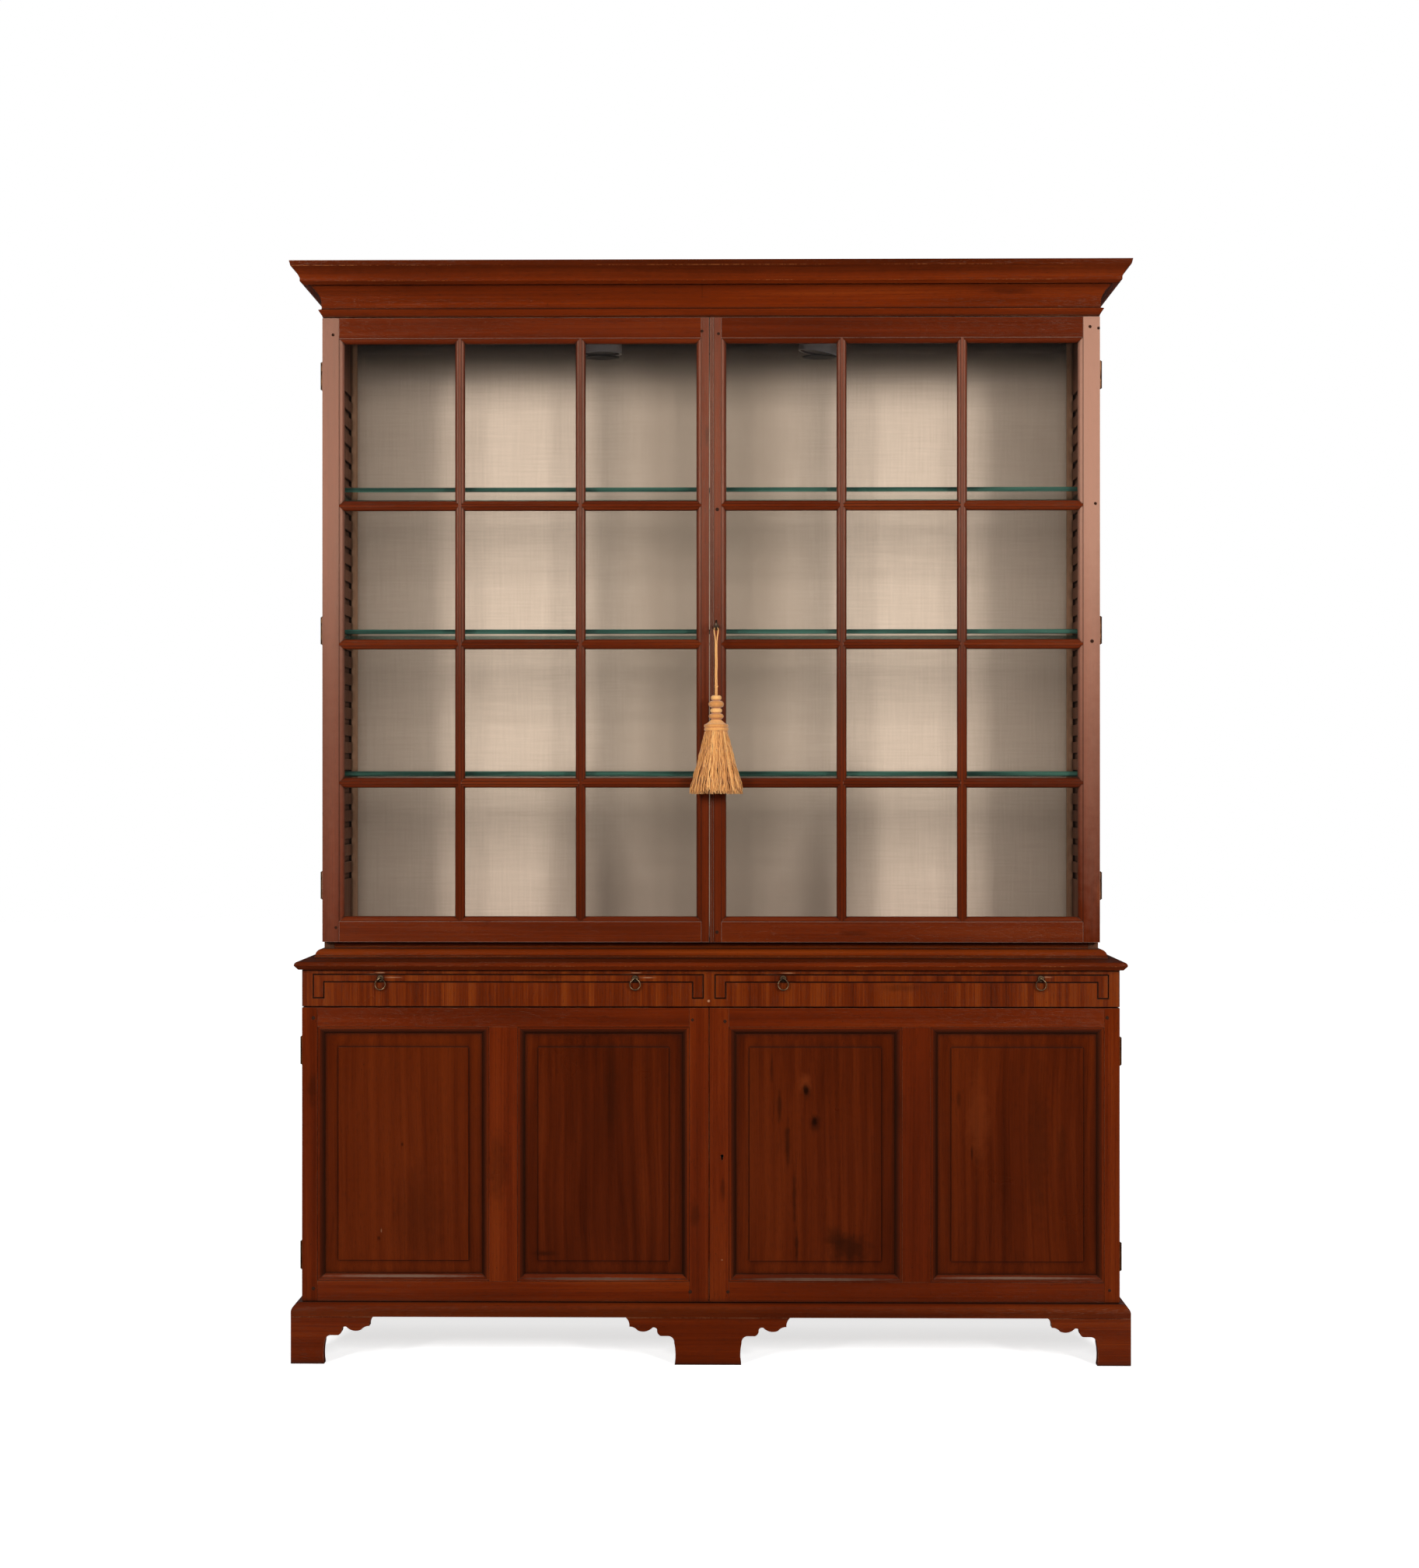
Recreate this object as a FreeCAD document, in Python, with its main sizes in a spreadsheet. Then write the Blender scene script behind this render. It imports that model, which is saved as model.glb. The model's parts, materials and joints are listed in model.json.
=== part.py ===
import FreeCAD, Part
import math
import os
import types
import Sketcher

Vector = FreeCAD.Vector

# Driving sizes, in millimetres. The cabinet stands on z = 0 and its doors face -Y.
sizes = {
    "base_case_width": 1777.0,
    "base_depth": 447.0,
    "upper_case_step": 29.5,
    "upper_setback": 75.0,
    "foot_height": 102.0,
    "plinth_height": 27.5,
    "plinth_projection": 20.5,
    "plinth_flat": 11.0,
    "lower_door_clearance": 1.5,
    "lower_door_height": 639.0,
    "frieze_clearance": 2.0,
    "frieze_height": 80.5,
    "base_top_thickness": 17.5,
    "base_top_projection": 15.0,
    "base_top_rounding": 7.0,
    "base_top_undercut": 8.0,
    "base_top_tip_height": 9.0,
    "waist_height": 20.5,
    "waist_projection": 18.5,
    "waist_fillet": 5.5,
    "waist_quirk": 1.5,
    "waist_ovolo_width": 14.0,
    "waist_rail_height": 16.5,
    "upper_door_height": 1380.0,
    "cornice_clearance": 2.0,
    "cornice_height": 111.0,
    "cornice_projection": 61.5,
    "cornice_side_gap": 8.0,
    "door_thickness": 23.5,
    "door_shut_gap": 0.5,
    "door_meeting_gap": 1.5,
    "meeting_offset": 2.0,
    "upper_side_thickness": 22.0,
    "base_side_thickness": 23.0,
    "board_thickness": 20.0,
    "top_board_drop": 9.0,
    "door_stop_height": 10.0,
    "back_thickness": 13.0,
    "lining_thickness": 3.0,
    "batten_width": 14.0,
    "batten_thickness": 8.0,
    "dust_board_thickness": 12.0,
    "shelf_thickness": 18.0,
    "shelf_setback": 24.0,
    "shelf_rise": 299.0,
    "groove_pitch": 39.45,
    "groove_height": 14.0,
    "groove_depth": 6.0,
    "first_groove_height": 167.8,
    "glass_shelf_thickness": 10.0,
    "glass_shelf_setback": 39.0,
    "glass_shelf_end_gap": 1.0,
    "glass_shelf_back_gap": 2.0,
    "quirk": 1.0,
    "upper_sticking_width": 11.0,
    "upper_sticking_depth": 10.0,
    "upper_stile_flat": 37.0,
    "left_meeting_flat": 17.25,
    "right_meeting_flat": 25.25,
    "upper_top_rail_flat": 46.0,
    "upper_bottom_rail_flat": 45.5,
    "rebate_depth": 11.5,
    "rebate_width": 6.0,
    "pane_thickness": 3.0,
    "pane_gap": 0.5,
    "pane_height": 284.5,
    "bar_width": 22.0,
    "bar_fillet_width": 6.0,
    "bar_recess": 0.5,
    "bead_width": 8.0,
    "bead_rise": 2.5,
    "lower_sticking_width": 15.0,
    "lower_sticking_depth": 9.0,
    "lower_stile_flat": 33.5,
    "lower_meeting_flat": 42.0,
    "lower_muntin_flat": 62.0,
    "lower_top_rail_flat": 41.5,
    "lower_bottom_rail_flat": 44.0,
    "panel_groove_depth": 8.0,
    "panel_groove_start": 10.0,
    "panel_groove_width": 6.5,
    "panel_gap": 0.25,
    "panel_bevel_width": 30.0,
    "panel_field_depth": 3.0,
    "panel_step": 1.75,
    "slide_rail_height": 10.1,
    "slide_strip_height": 15.2,
    "slide_gap": 0.9,
    "slide_leg_width": 22.0,
    "slide_leg_height": 35.0,
    "slide_front_thickness": 18.0,
    "slide_board_thickness": 13.5,
    "slide_back_gap": 21.0,
    "slide_side_gap": 0.8,
    "frieze_post_width": 24.3,
    "frieze_muntin_width": 25.0,
    "slide_board_inset": 1.0,
    "runner_width": 20.0,
    "runner_height": 14.0,
    "runner_gap": 0.3,
    "pull_outer_inset": 145.9,
    "pull_inner_inset": 147.6,
    "post_radius": 6.5,
    "post_base_thickness": 2.0,
    "post_stem_radius": 2.2,
    "post_eye_thickness": 3.0,
    "post_eye_height": 6.4,
    "post_reach": 9.0,
    "ring_wire_radius": 1.3,
    "ring_radius": 11.2,
    "ring_height": 24.7,
    "ring_neck_radius": 4.2,
    "ring_clearance": 0.5,
    "hinge_height": 60.0,
    "hinge_leaf_width": 22.0,
    "hinge_leaf_thickness": 2.0,
    "knuckle_radius": 4.0,
    "knuckle_gap": 0.3,
    "pin_radius": 2.0,
    "pin_clearance": 0.05,
    "pin_overhang": 1.5,
    "lock_height": 44.0,
    "lock_below_key": 14.0,
    "lock_depth": 11.0,
    "lock_wall": 1.2,
    "lock_beyond_key": 13.0,
    "upper_backset": 14.25,
    "lower_backset": 27.25,
    "upper_key_height": 697.0,
    "lower_key_height": 317.0,
    "lock_bolt_height": 10.0,
    "lock_bolt_thickness": 4.5,
    "lock_bolt_rise": 5.0,
    "lock_bolt_throw": 7.0,
    "lock_gap": 0.3,
    "talon_gap": 3.5,
    "talon_width": 2.0,
    "key_radius": 3.0,
    "key_hole_clearance": 0.4,
    "key_bit_radius": 8.0,
    "key_bit_thickness": 2.5,
    "key_bit_length": 4.5,
    "key_stem_length": 24.5,
    "key_collar_radius": 4.6,
    "key_collar_thickness": 2.5,
    "bow_radius": 9.5,
    "bow_wire_radius": 2.3,
    "bolt_plate_width": 18.0,
    "bolt_plate_height": 70.0,
    "bolt_plate_thickness": 2.5,
    "bolt_width": 8.0,
    "bolt_thickness": 4.0,
    "bolt_gap": 0.3,
    "bolt_guide_height": 9.0,
    "bolt_guide_wall": 2.0,
    "bolt_throw": 12.0,
    "bolt_tip_gap": 4.0,
    "bolt_knob_radius": 2.5,
    "bolt_knob_length": 3.5,
    "bolt_inset": 12.0,
    "light_spacing": 248.0,
    "light_radius": 45.0,
    "light_thickness": 30.0,
    "light_mount_radius": 32.0,
    "light_mount_thickness": 15.0,
    "light_setback": 200.0,
    "light_rim": 5.0,
    "light_overlap": 1.0,
    "light_dish_depth": 5.0,
    "corner_foot_width": 73.0,
    "centre_foot_width": 144.0,
    "centre_foot_offset": 4.5,
    "foot_scallop_reach": 106.0,
    "rear_foot_width": 60.0,
    "block_width": 42.0,
    "block_lift": 5.0,
    "tassel_width": 119.0,
    "tassel_depth": 56.0,
    "tassel_skirt_height": 140.0,
    "tassel_band_width": 54.5,
    "tassel_band_height": 15.3,
    "tassel_neck_width": 28.0,
    "tassel_neck_height": 10.2,
    "bead_stack_height": 52.9,
    "tassel_core_radius": 6.0,
    "cord_radius": 1.35,
    "cord_spread": 1.5,
    "cord_drop": 143.9,
    "cord_taper": 22.0,
    "cord_gap": 0.4,
    "overrun": 5.0,
}

# Shares: ratios without a unit.
hinge_shares_upper = (0.09, 0.5, 0.91)
hinge_shares_lower = (0.15, 0.85)
quarter_round_share = 0.2071
half_round_share = 0.5
glass_shelf_grooves = (6, 14, 22)
groove_count = 29
pane_columns = 3
pane_rows = 4
back_board_count = 6
light_tilt_degrees = 10
cord_run_share = 0.45

# Cornice section: shares of its projection and height; a third entry hollows the next edge by that share.
cornice_shares = (
    (0.000, 0.000),
    (0.000, 0.018),
    (0.132, 0.132),
    (0.023, 0.157),
    (0.023, 0.243, 0.13),
    (0.379, 0.586),
    (0.537, 0.577),
    (0.680, 0.631),
    (0.680, 0.692, 0.065),
    (0.956, 0.899),
    (1.000, 1.000),
)

# Bracket foot: shares of the scallop reach and of the foot height, from the inner edge of the foot.
scallop_shares = (
    (0.000, 0.000, -0.05),
    (0.010, 0.470, -0.22),
    (0.132, 0.608),
    (0.283, 0.608, 0.18),
    (0.358, 0.745, -0.20),
    (0.453, 0.785, 0.16),
    (0.755, 0.725, -0.12),
    (0.925, 0.804, -0.12),
    (1.000, 1.000),
)

# Tassel beads from the top: height and gap below as shares of the stack, radius as a share of the band.
bead_shares = (
    (0.210, 0.017, 0.220),
    (0.225, 0.064, 0.284),
    (0.161, 0.053, 0.248),
    (0.238, 0.032, 0.284),
)

# Tassel skirt: shares of its height, width and depth, from the band down.
skirt_shares = ((0.0, 0.44, 0.90), (0.4, 0.70, 0.93), (1.0, 1.0, 1.0))


class Length:
    """A number of millimetres together with the sheet formula that gives it."""

    def __init__(self, number, formula):
        self.number = number
        self.formula = formula

    def __add__(self, other):
        other = as_length(other)
        return Length(self.number + other.number, "(%s + %s)" % (self.formula, other.formula))

    def __sub__(self, other):
        other = as_length(other)
        return Length(self.number - other.number, "(%s - %s)" % (self.formula, other.formula))

    def __mul__(self, other):
        other = as_length(other)
        return Length(self.number * other.number, "(%s * %s)" % (self.formula, other.formula))

    def __truediv__(self, other):
        other = as_length(other)
        return Length(self.number / other.number, "(%s / %s)" % (self.formula, other.formula))

    def __neg__(self):
        return Length(-self.number, "(0 - %s)" % self.formula)


def as_length(value):
    if isinstance(value, Length):
        return value
    return Length(value, "(%r)" % value)


doc = FreeCAD.newDocument("glass_door_cabinet")
sheet = doc.addObject("Spreadsheet::Sheet", "sizes")
for row, (name, value) in enumerate(sizes.items(), 1):
    sheet.set("A%d" % row, name)
    sheet.set("B%d" % row, str(value))
    sheet.setAlias("B%d" % row, name)
doc.recompute()
size = types.SimpleNamespace(**{name: Length(value, "sizes." + name) for name, value in sizes.items()})
nothing = Length(0, "0")
nodes = []


def bind(thing, prop, length):
    thing.setExpression(prop, as_length(length).formula)


def place(thing, x, y, z):
    """Put the thing's own origin at a place on the cabinet."""
    numbers = [as_length(value).number for value in (x, y, z)]
    thing.Placement.Base = Vector(*numbers)
    for axis, value in zip("xyz", (x, y, z)):
        bind(thing, "Placement.Base." + axis, value)


def board(name, x, y, z):
    """A rectangular piece between two places on each axis."""
    piece = doc.addObject("Part::Box", name)
    for prop, (low, high) in zip(("Length", "Width", "Height"), (x, y, z)):
        bind(piece, prop, high - low)
    place(piece, x[0], y[0], z[0])
    return piece


def rod(name, radius, start, axis, length):
    """A cylinder from a start point along X, Y or Z."""
    piece = doc.addObject("Part::Cylinder", name)
    bind(piece, "Radius", radius)
    bind(piece, "Height", length)
    turns = {"X": (Vector(0, 1, 0), 90), "Y": (Vector(1, 0, 0), -90), "Z": (Vector(0, 0, 1), 0)}
    piece.Placement.Rotation = FreeCAD.Rotation(*turns[axis])
    place(piece, *start)
    return piece


def group(name, pieces):
    """Pieces kept as separate solids."""
    compound = doc.addObject("Part::Compound", name)
    compound.Links = pieces
    return compound


def fuse(name, pieces):
    joined = doc.addObject("Part::MultiFuse", name)
    joined.Shapes = pieces
    joined.Refine = True
    return joined


def cut(name, base, tools):
    """The base piece less the tools."""
    less = doc.addObject("Part::Cut", name)
    less.Base = base
    less.Tool = tools[0] if len(tools) == 1 else group(name + "_tools", tools)
    return less


def node(name, pieces):
    """A named sub-part: one piece, or a group of separate solids."""
    thing = pieces[0] if len(pieces) == 1 else group(name + "_node", pieces)
    thing.Label = name
    nodes.append(thing)
    return thing


def span(side, near, far):
    """Two places on the right of the middle, or their mirror on the left."""
    return (near, far) if side > 0 else (-far, -near)


def draw(body, name, role, points, holes=()):
    """A closed outline on one of the body's own planes; a third entry makes the next edge an arc."""
    sketch = body.newObject("Sketcher::SketchObject", name)
    plane = [feature for feature in body.Origin.OriginFeatures if feature.Role == role][0]
    sketch.AttachmentSupport = [(plane, "")]
    sketch.MapMode = "FlatFace"
    for outline in (points,) + tuple(holes):
        add_outline(sketch, outline)
    return sketch


def add_outline(sketch, points):
    corners = [(as_length(point[0]), as_length(point[1])) for point in points]
    bulges = [point[2] if len(point) > 2 else 0 for point in points]
    starts = []
    for index, (start, bulge) in enumerate(zip(corners, bulges)):
        end = corners[(index + 1) % len(corners)]
        starts.append(add_edge(sketch, start, end, bulge))
    for index, (edge, first, last) in enumerate(starts):
        following, following_first, _ = starts[(index + 1) % len(starts)]
        sketch.addConstraint(Sketcher.Constraint("Coincident", edge, last, following, following_first))


def add_edge(sketch, start, end, bulge):
    """One edge pinned at its start; returns its number and which of its ends come first and last."""
    first = Vector(start[0].number, start[1].number, 0)
    last = Vector(end[0].number, end[1].number, 0)
    if not bulge:
        edge = sketch.addGeometry(Part.LineSegment(first, last), False)
        pin(sketch, edge, 1, start)
        return edge, 1, 2
    crown = (
        (start[0] + end[0]) / 2 + (end[1] - start[1]) * bulge,
        (start[1] + end[1]) / 2 - (end[0] - start[0]) * bulge,
    )
    middle = Vector(crown[0].number, crown[1].number, 0)
    edge = sketch.addGeometry(Part.Arc(first, middle, last), False)
    start_distance = sketch.getPoint(edge, 1).distanceToPoint(first)
    end_distance = sketch.getPoint(edge, 2).distanceToPoint(first)
    ends = (1, 2) if start_distance < end_distance else (2, 1)
    pin(sketch, edge, ends[0], start)
    mark = sketch.addGeometry(Part.Point(middle), True)
    pin(sketch, mark, 1, crown)
    sketch.addConstraint(Sketcher.Constraint("PointOnObject", mark, 1, edge))
    return edge, ends[0], ends[1]


def pin(sketch, edge, end, place_on_sketch):
    for kind, value in zip(("DistanceX", "DistanceY"), place_on_sketch):
        number = sketch.addConstraint(Sketcher.Constraint(kind, edge, end, value.number))
        sketch.setExpression("Constraints[%d]" % number, value.formula)


def pad(name, role, points, length, origin, backwards=False, holes=()):
    """A body padded from an outline."""
    body = doc.addObject("PartDesign::Body", name)
    sketch = draw(body, name + "_outline", role, points, holes)
    feature = body.newObject("PartDesign::Pad", name + "_pad")
    feature.Profile = sketch
    feature.Length = length.number
    bind(feature, "Length", length)
    feature.Reversed = backwards
    place(body, *origin)
    return body


def pocket_through(body, name, role, points, backwards):
    """Cut an outline right through the body, and make sure that it has cut."""
    doc.recompute()
    before = body.Shape.Volume
    sketch = draw(body, name + "_outline", role, points)
    feature = body.newObject("PartDesign::Pocket", name)
    feature.Profile = sketch
    feature.Type = "ThroughAll"
    feature.Reversed = backwards
    doc.recompute()
    if not body.Shape.Volume < before:
        raise RuntimeError(name + " cuts nothing")


# Places worked out from the driving sizes.
base_half = size.base_case_width / 2
upper_half = base_half - size.upper_case_step
back = (size.base_depth + size.plinth_projection) / 2
lower_face = back - size.base_depth
lower_back_of_door = lower_face + size.door_thickness
lower_front = lower_back_of_door + size.door_shut_gap
upper_face = lower_face + size.upper_setback
upper_back_of_door = upper_face + size.door_thickness
upper_front = upper_back_of_door + size.door_shut_gap
board_front = back - size.back_thickness
lining_front = board_front - size.lining_thickness

plinth_bottom = size.foot_height
plinth_top = plinth_bottom + size.plinth_height
lower_door_bottom = plinth_top + size.lower_door_clearance
lower_door_top = lower_door_bottom + size.lower_door_height
frieze_bottom = lower_door_top + size.frieze_clearance
frieze_top = frieze_bottom + size.frieze_height
base_top = frieze_top + size.base_top_thickness
waist_top = base_top + size.waist_height
upper_door_bottom = waist_top + size.waist_rail_height
upper_door_top = upper_door_bottom + size.upper_door_height
cornice_bottom = upper_door_top + size.cornice_clearance
cornice_top = cornice_bottom + size.cornice_height
ceiling = upper_door_top - size.top_board_drop
top_board_top = ceiling + size.board_thickness
floor_top = upper_door_bottom + size.door_stop_height
floor_under = floor_top - size.board_thickness
base_floor_top = lower_door_bottom + size.door_stop_height
base_floor_under = base_floor_top - size.board_thickness
dust_top = frieze_bottom + size.dust_board_thickness

upper_inner = upper_half - size.upper_side_thickness
base_inner = base_half - size.base_side_thickness
meeting_middle = -size.meeting_offset
left_meeting = meeting_middle - size.door_meeting_gap / 2
right_meeting = meeting_middle + size.door_meeting_gap / 2
upper_key_x = right_meeting + size.upper_backset
lower_key_x = right_meeting + size.lower_backset
upper_key_z = upper_door_bottom + size.upper_key_height
lower_key_z = lower_door_bottom + size.lower_key_height


# Hinges: butt hinges let into the doors' backs and the case's front edges, with their knuckles outside.
axis_offset = size.knuckle_radius + size.knuckle_gap


def hinge_leaf(name, side, half, plane, middle, on_door):
    """One leaf with its knuckles: the middle one on the door, the end ones on the case."""
    if on_door:
        depth = (plane - size.hinge_leaf_thickness, plane)
    else:
        depth = (plane, plane + size.hinge_leaf_thickness)
    reach = size.hinge_height / 2
    inner = size.hinge_height / 6
    gap = size.knuckle_gap / 2
    axis = (half + axis_offset) * side
    bands = [(-inner + gap, inner - gap)] if on_door else [(-reach, -inner - gap), (inner + gap, reach)]
    leaf_x = span(side, half - size.hinge_leaf_width, half)
    pieces = [board(name + "_plate", leaf_x, depth, (middle - reach, middle + reach))]
    for number, (low, high) in enumerate(bands, 1):
        tab = span(side, half, half + axis_offset)
        pieces.append(board("%s_tab_%d" % (name, number), tab, depth, (middle + low, middle + high)))
        start = (axis, plane, middle + low)
        pieces.append(rod("%s_knuckle_%d" % (name, number), size.knuckle_radius, start, "Z", high - low))
    bore_start = (axis, plane, middle - reach - size.overrun)
    bore_length = size.hinge_height + size.overrun * 2
    bore = rod(name + "_bore", size.pin_radius + size.pin_clearance, bore_start, "Z", bore_length)
    return cut(name, fuse(name + "_blank", pieces), [bore])


def hinge_set(name, side, half, back_of_door, bottom, height, shares):
    """Door leaves, case leaves, pins and the two sets of recesses for one door."""
    plane = back_of_door + size.door_shut_gap / 2
    door_leaves, case_leaves, pins, door_recesses, case_recesses = [], [], [], [], []
    for number, share in enumerate(shares, 1):
        tag = "%s_%d" % (name, number)
        middle = bottom + height * share
        reach = size.hinge_height / 2
        door_leaves.append(hinge_leaf(tag + "_door_leaf", side, half, plane, middle, True))
        case_leaves.append(hinge_leaf(tag + "_case_leaf", side, half, plane, middle, False))
        axis = (half + axis_offset) * side
        start = (axis, plane, middle - reach - size.pin_overhang)
        length = size.hinge_height + size.pin_overhang * 2
        pins.append(rod(tag + "_pin", size.pin_radius, start, "Z", length))
        across = span(side, half - size.hinge_leaf_width, half + size.overrun)
        tall = (middle - reach, middle + reach)
        door_depth = (plane - size.hinge_leaf_thickness, plane + size.overrun)
        case_depth = (plane - size.overrun, plane + size.hinge_leaf_thickness)
        door_recesses.append(board(tag + "_door_recess", across, door_depth, tall))
        case_recesses.append(board(tag + "_case_recess", across, case_depth, tall))
    return door_leaves, case_leaves, pins, door_recesses, case_recesses


upper_hinge_places = (
    upper_half,
    upper_back_of_door,
    upper_door_bottom,
    size.upper_door_height,
    hinge_shares_upper,
)
lower_hinge_places = (
    base_half,
    lower_back_of_door,
    lower_door_bottom,
    size.lower_door_height,
    hinge_shares_lower,
)
hinges = {
    "upper_left": hinge_set("upper_left", -1, *upper_hinge_places),
    "upper_right": hinge_set("upper_right", 1, *upper_hinge_places),
    "lower_left": hinge_set("lower_left", -1, *lower_hinge_places),
    "lower_right": hinge_set("lower_right", 1, *lower_hinge_places),
}


# Surface bolts on the backs of the left doors.
def surface_bolt(name, x, back_of_door, board_edge, up):
    """Plate with two guides, the sliding bolt, and the mortise that it shoots into."""
    rod_back = back_of_door + size.bolt_plate_thickness + size.bolt_gap
    rod_depth = (rod_back, rod_back + size.bolt_thickness)
    plate_end = board_edge - size.bolt_tip_gap * up
    plate_start = plate_end - size.bolt_plate_height * up
    tall = (plate_start, plate_end) if up > 0 else (plate_end, plate_start)
    half_plate = size.bolt_plate_width / 2
    half_bolt = size.bolt_width / 2
    channel = (x - half_bolt - size.bolt_gap, x + half_bolt + size.bolt_gap)
    back_plate = back_of_door + size.bolt_plate_thickness
    pieces = [board(name + "_plate", (x - half_plate, x + half_plate), (back_of_door, back_plate), tall)]
    guides = (
        ("near", tall[0] + size.bolt_guide_wall),
        ("far", tall[1] - size.bolt_guide_wall - size.bolt_guide_height),
    )
    guide_front = rod_depth[1] + size.bolt_gap + size.bolt_guide_wall
    for label, low in guides:
        across = (channel[0] - size.bolt_guide_wall, channel[1] + size.bolt_guide_wall)
        high = low + size.bolt_guide_height
        pieces.append(board("%s_%s_guide" % (name, label), across, (back_plate, guide_front), (low, high)))
    slot_depth = (back_plate, rod_depth[1] + size.bolt_gap)
    slot_tall = (tall[0] - size.overrun, tall[1] + size.overrun)
    plate = cut(name + "_plate_cut", fuse(name + "_plate_blank", pieces), [
        board(name + "_channel", channel, slot_depth, slot_tall)
    ])
    tip = board_edge - size.bolt_gap * up * 2
    tail = tip - size.bolt_plate_height * up
    along = (tail, tip) if up > 0 else (tip, tail)
    bar = board(name + "_bar", (x - half_bolt, x + half_bolt), rod_depth, along)
    knob_z = (along[0] + along[1]) / 2
    knob = rod(name + "_knob", size.bolt_knob_radius, (x, rod_depth[1], knob_z), "Y", size.bolt_knob_length)
    bolt = fuse(name + "_bolt", [bar, knob])
    mortise_end = board_edge + (size.bolt_throw + size.bolt_gap) * up
    mortise_start = board_edge - size.overrun * up
    mortise_tall = (mortise_start, mortise_end) if up > 0 else (mortise_end, mortise_start)
    mortise_depth = (rod_depth[0] - size.bolt_gap, rod_depth[1] + size.bolt_gap)
    mortise = board(name + "_mortise", channel, mortise_depth, mortise_tall)
    return plate, bolt, mortise


upper_bolt_x = left_meeting - size.bolt_inset
lower_bolt_x = left_meeting - size.bolt_inset * 2
top_plate, top_bolt, top_mortise = surface_bolt(
    "upper_top", upper_bolt_x, upper_back_of_door, ceiling, 1
)
foot_plate, foot_bolt, foot_mortise = surface_bolt(
    "upper_foot", upper_bolt_x, upper_back_of_door, floor_top, -1
)
base_plate, base_bolt, base_mortise = surface_bolt(
    "lower", lower_bolt_x, lower_back_of_door, frieze_bottom, 1
)


# Upper case.
def grooved_side(name, side, recesses):
    """A case side with its row of shelf grooves and its hinge recesses."""
    depth = back - upper_front
    height = cornice_top - size.cornice_side_gap - base_top
    outline = [(nothing, nothing), (depth, nothing), (depth, height), (nothing, height)]
    origin = (upper_inner * side, upper_front, base_top)
    body = pad(name, "YZ_Plane", outline, size.upper_side_thickness, origin, backwards=side < 0)
    doc.recompute()
    before = body.Shape.Volume
    low = size.first_groove_height
    high = low + size.groove_height
    groove_end = lining_front - upper_front
    front = -size.overrun
    groove_outline = [(front, low), (groove_end, low), (groove_end, high), (front, high)]
    groove = draw(body, name + "_groove_outline", "YZ_Plane", groove_outline)
    pocket = body.newObject("PartDesign::Pocket", name + "_groove")
    pocket.Profile = groove
    pocket.Length = size.groove_depth.number
    bind(pocket, "Length", size.groove_depth)
    pocket.Reversed = side > 0
    doc.recompute()
    one_groove = before - body.Shape.Volume
    pattern = body.newObject("PartDesign::LinearPattern", name + "_grooves")
    pattern.Originals = [pocket]
    pattern.Direction = (groove, ["V_Axis"])
    pattern.Occurrences = groove_count
    run = size.groove_pitch * (groove_count - 1)
    pattern.Length = run.number
    bind(pattern, "Length", run)
    body.Tip = pattern
    doc.recompute()
    if not one_groove > 0 or body.Shape.Volume > before - one_groove * (groove_count - 1):
        raise RuntimeError(name + " lacks grooves")
    return cut(name + "_cut", body, recesses)


node("upper_left_side", [grooved_side("left_side", -1, hinges["upper_left"][4])])
node("upper_right_side", [grooved_side("right_side", 1, hinges["upper_right"][4])])

upper_across = (-upper_inner, upper_inner)
ceiling_board = board("ceiling_board", upper_across, (upper_front, board_front), (ceiling, top_board_top))
node("upper_top_board", [cut("ceiling_cut", ceiling_board, [top_mortise])])
floor_board = board("floor_board", upper_across, (upper_front, board_front), (floor_under, floor_top))
floor_rail = board(
    "floor_rail", upper_across, (upper_front, upper_front + size.board_thickness), (base_top, floor_under)
)
node("upper_bottom_board", [cut("floor_cut", floor_board, [foot_mortise]), floor_rail])


def back_boards(name, half, low, high):
    """Upright boards side by side."""
    width = half * 2 / back_board_count
    return [
        board(
            "%s_%d" % (name, number + 1),
            (-half + width * number, -half + width * (number + 1)),
            (board_front, back),
            (low, high),
        )
        for number in range(back_board_count)
    ]


node("upper_back_boards", back_boards("upper_back", upper_inner, base_top, top_board_top))
node("linen_lining", [board("lining", upper_across, (lining_front, board_front), (floor_top, ceiling))])
batten_depth = (lining_front - size.batten_thickness, lining_front)
node("lining_battens", [
    board(
        "batten_left" if side < 0 else "batten_right",
        span(side, upper_inner - size.batten_width, upper_inner),
        batten_depth,
        (floor_top, ceiling),
    )
    for side in (-1, 1)
])

shelf_end = upper_inner + size.groove_depth - size.glass_shelf_end_gap
shelf_depth = (upper_face + size.glass_shelf_setback, batten_depth[0] - size.glass_shelf_back_gap)
glass_shelves = []
for number, groove in enumerate(glass_shelf_grooves, 1):
    low = base_top + size.first_groove_height + size.groove_pitch * groove
    across = (-shelf_end, shelf_end)
    tall = (low, low + size.glass_shelf_thickness)
    glass_shelves.append(board("glass_shelf_%d" % number, across, shelf_depth, tall))
node("glass_shelves", glass_shelves)


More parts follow.
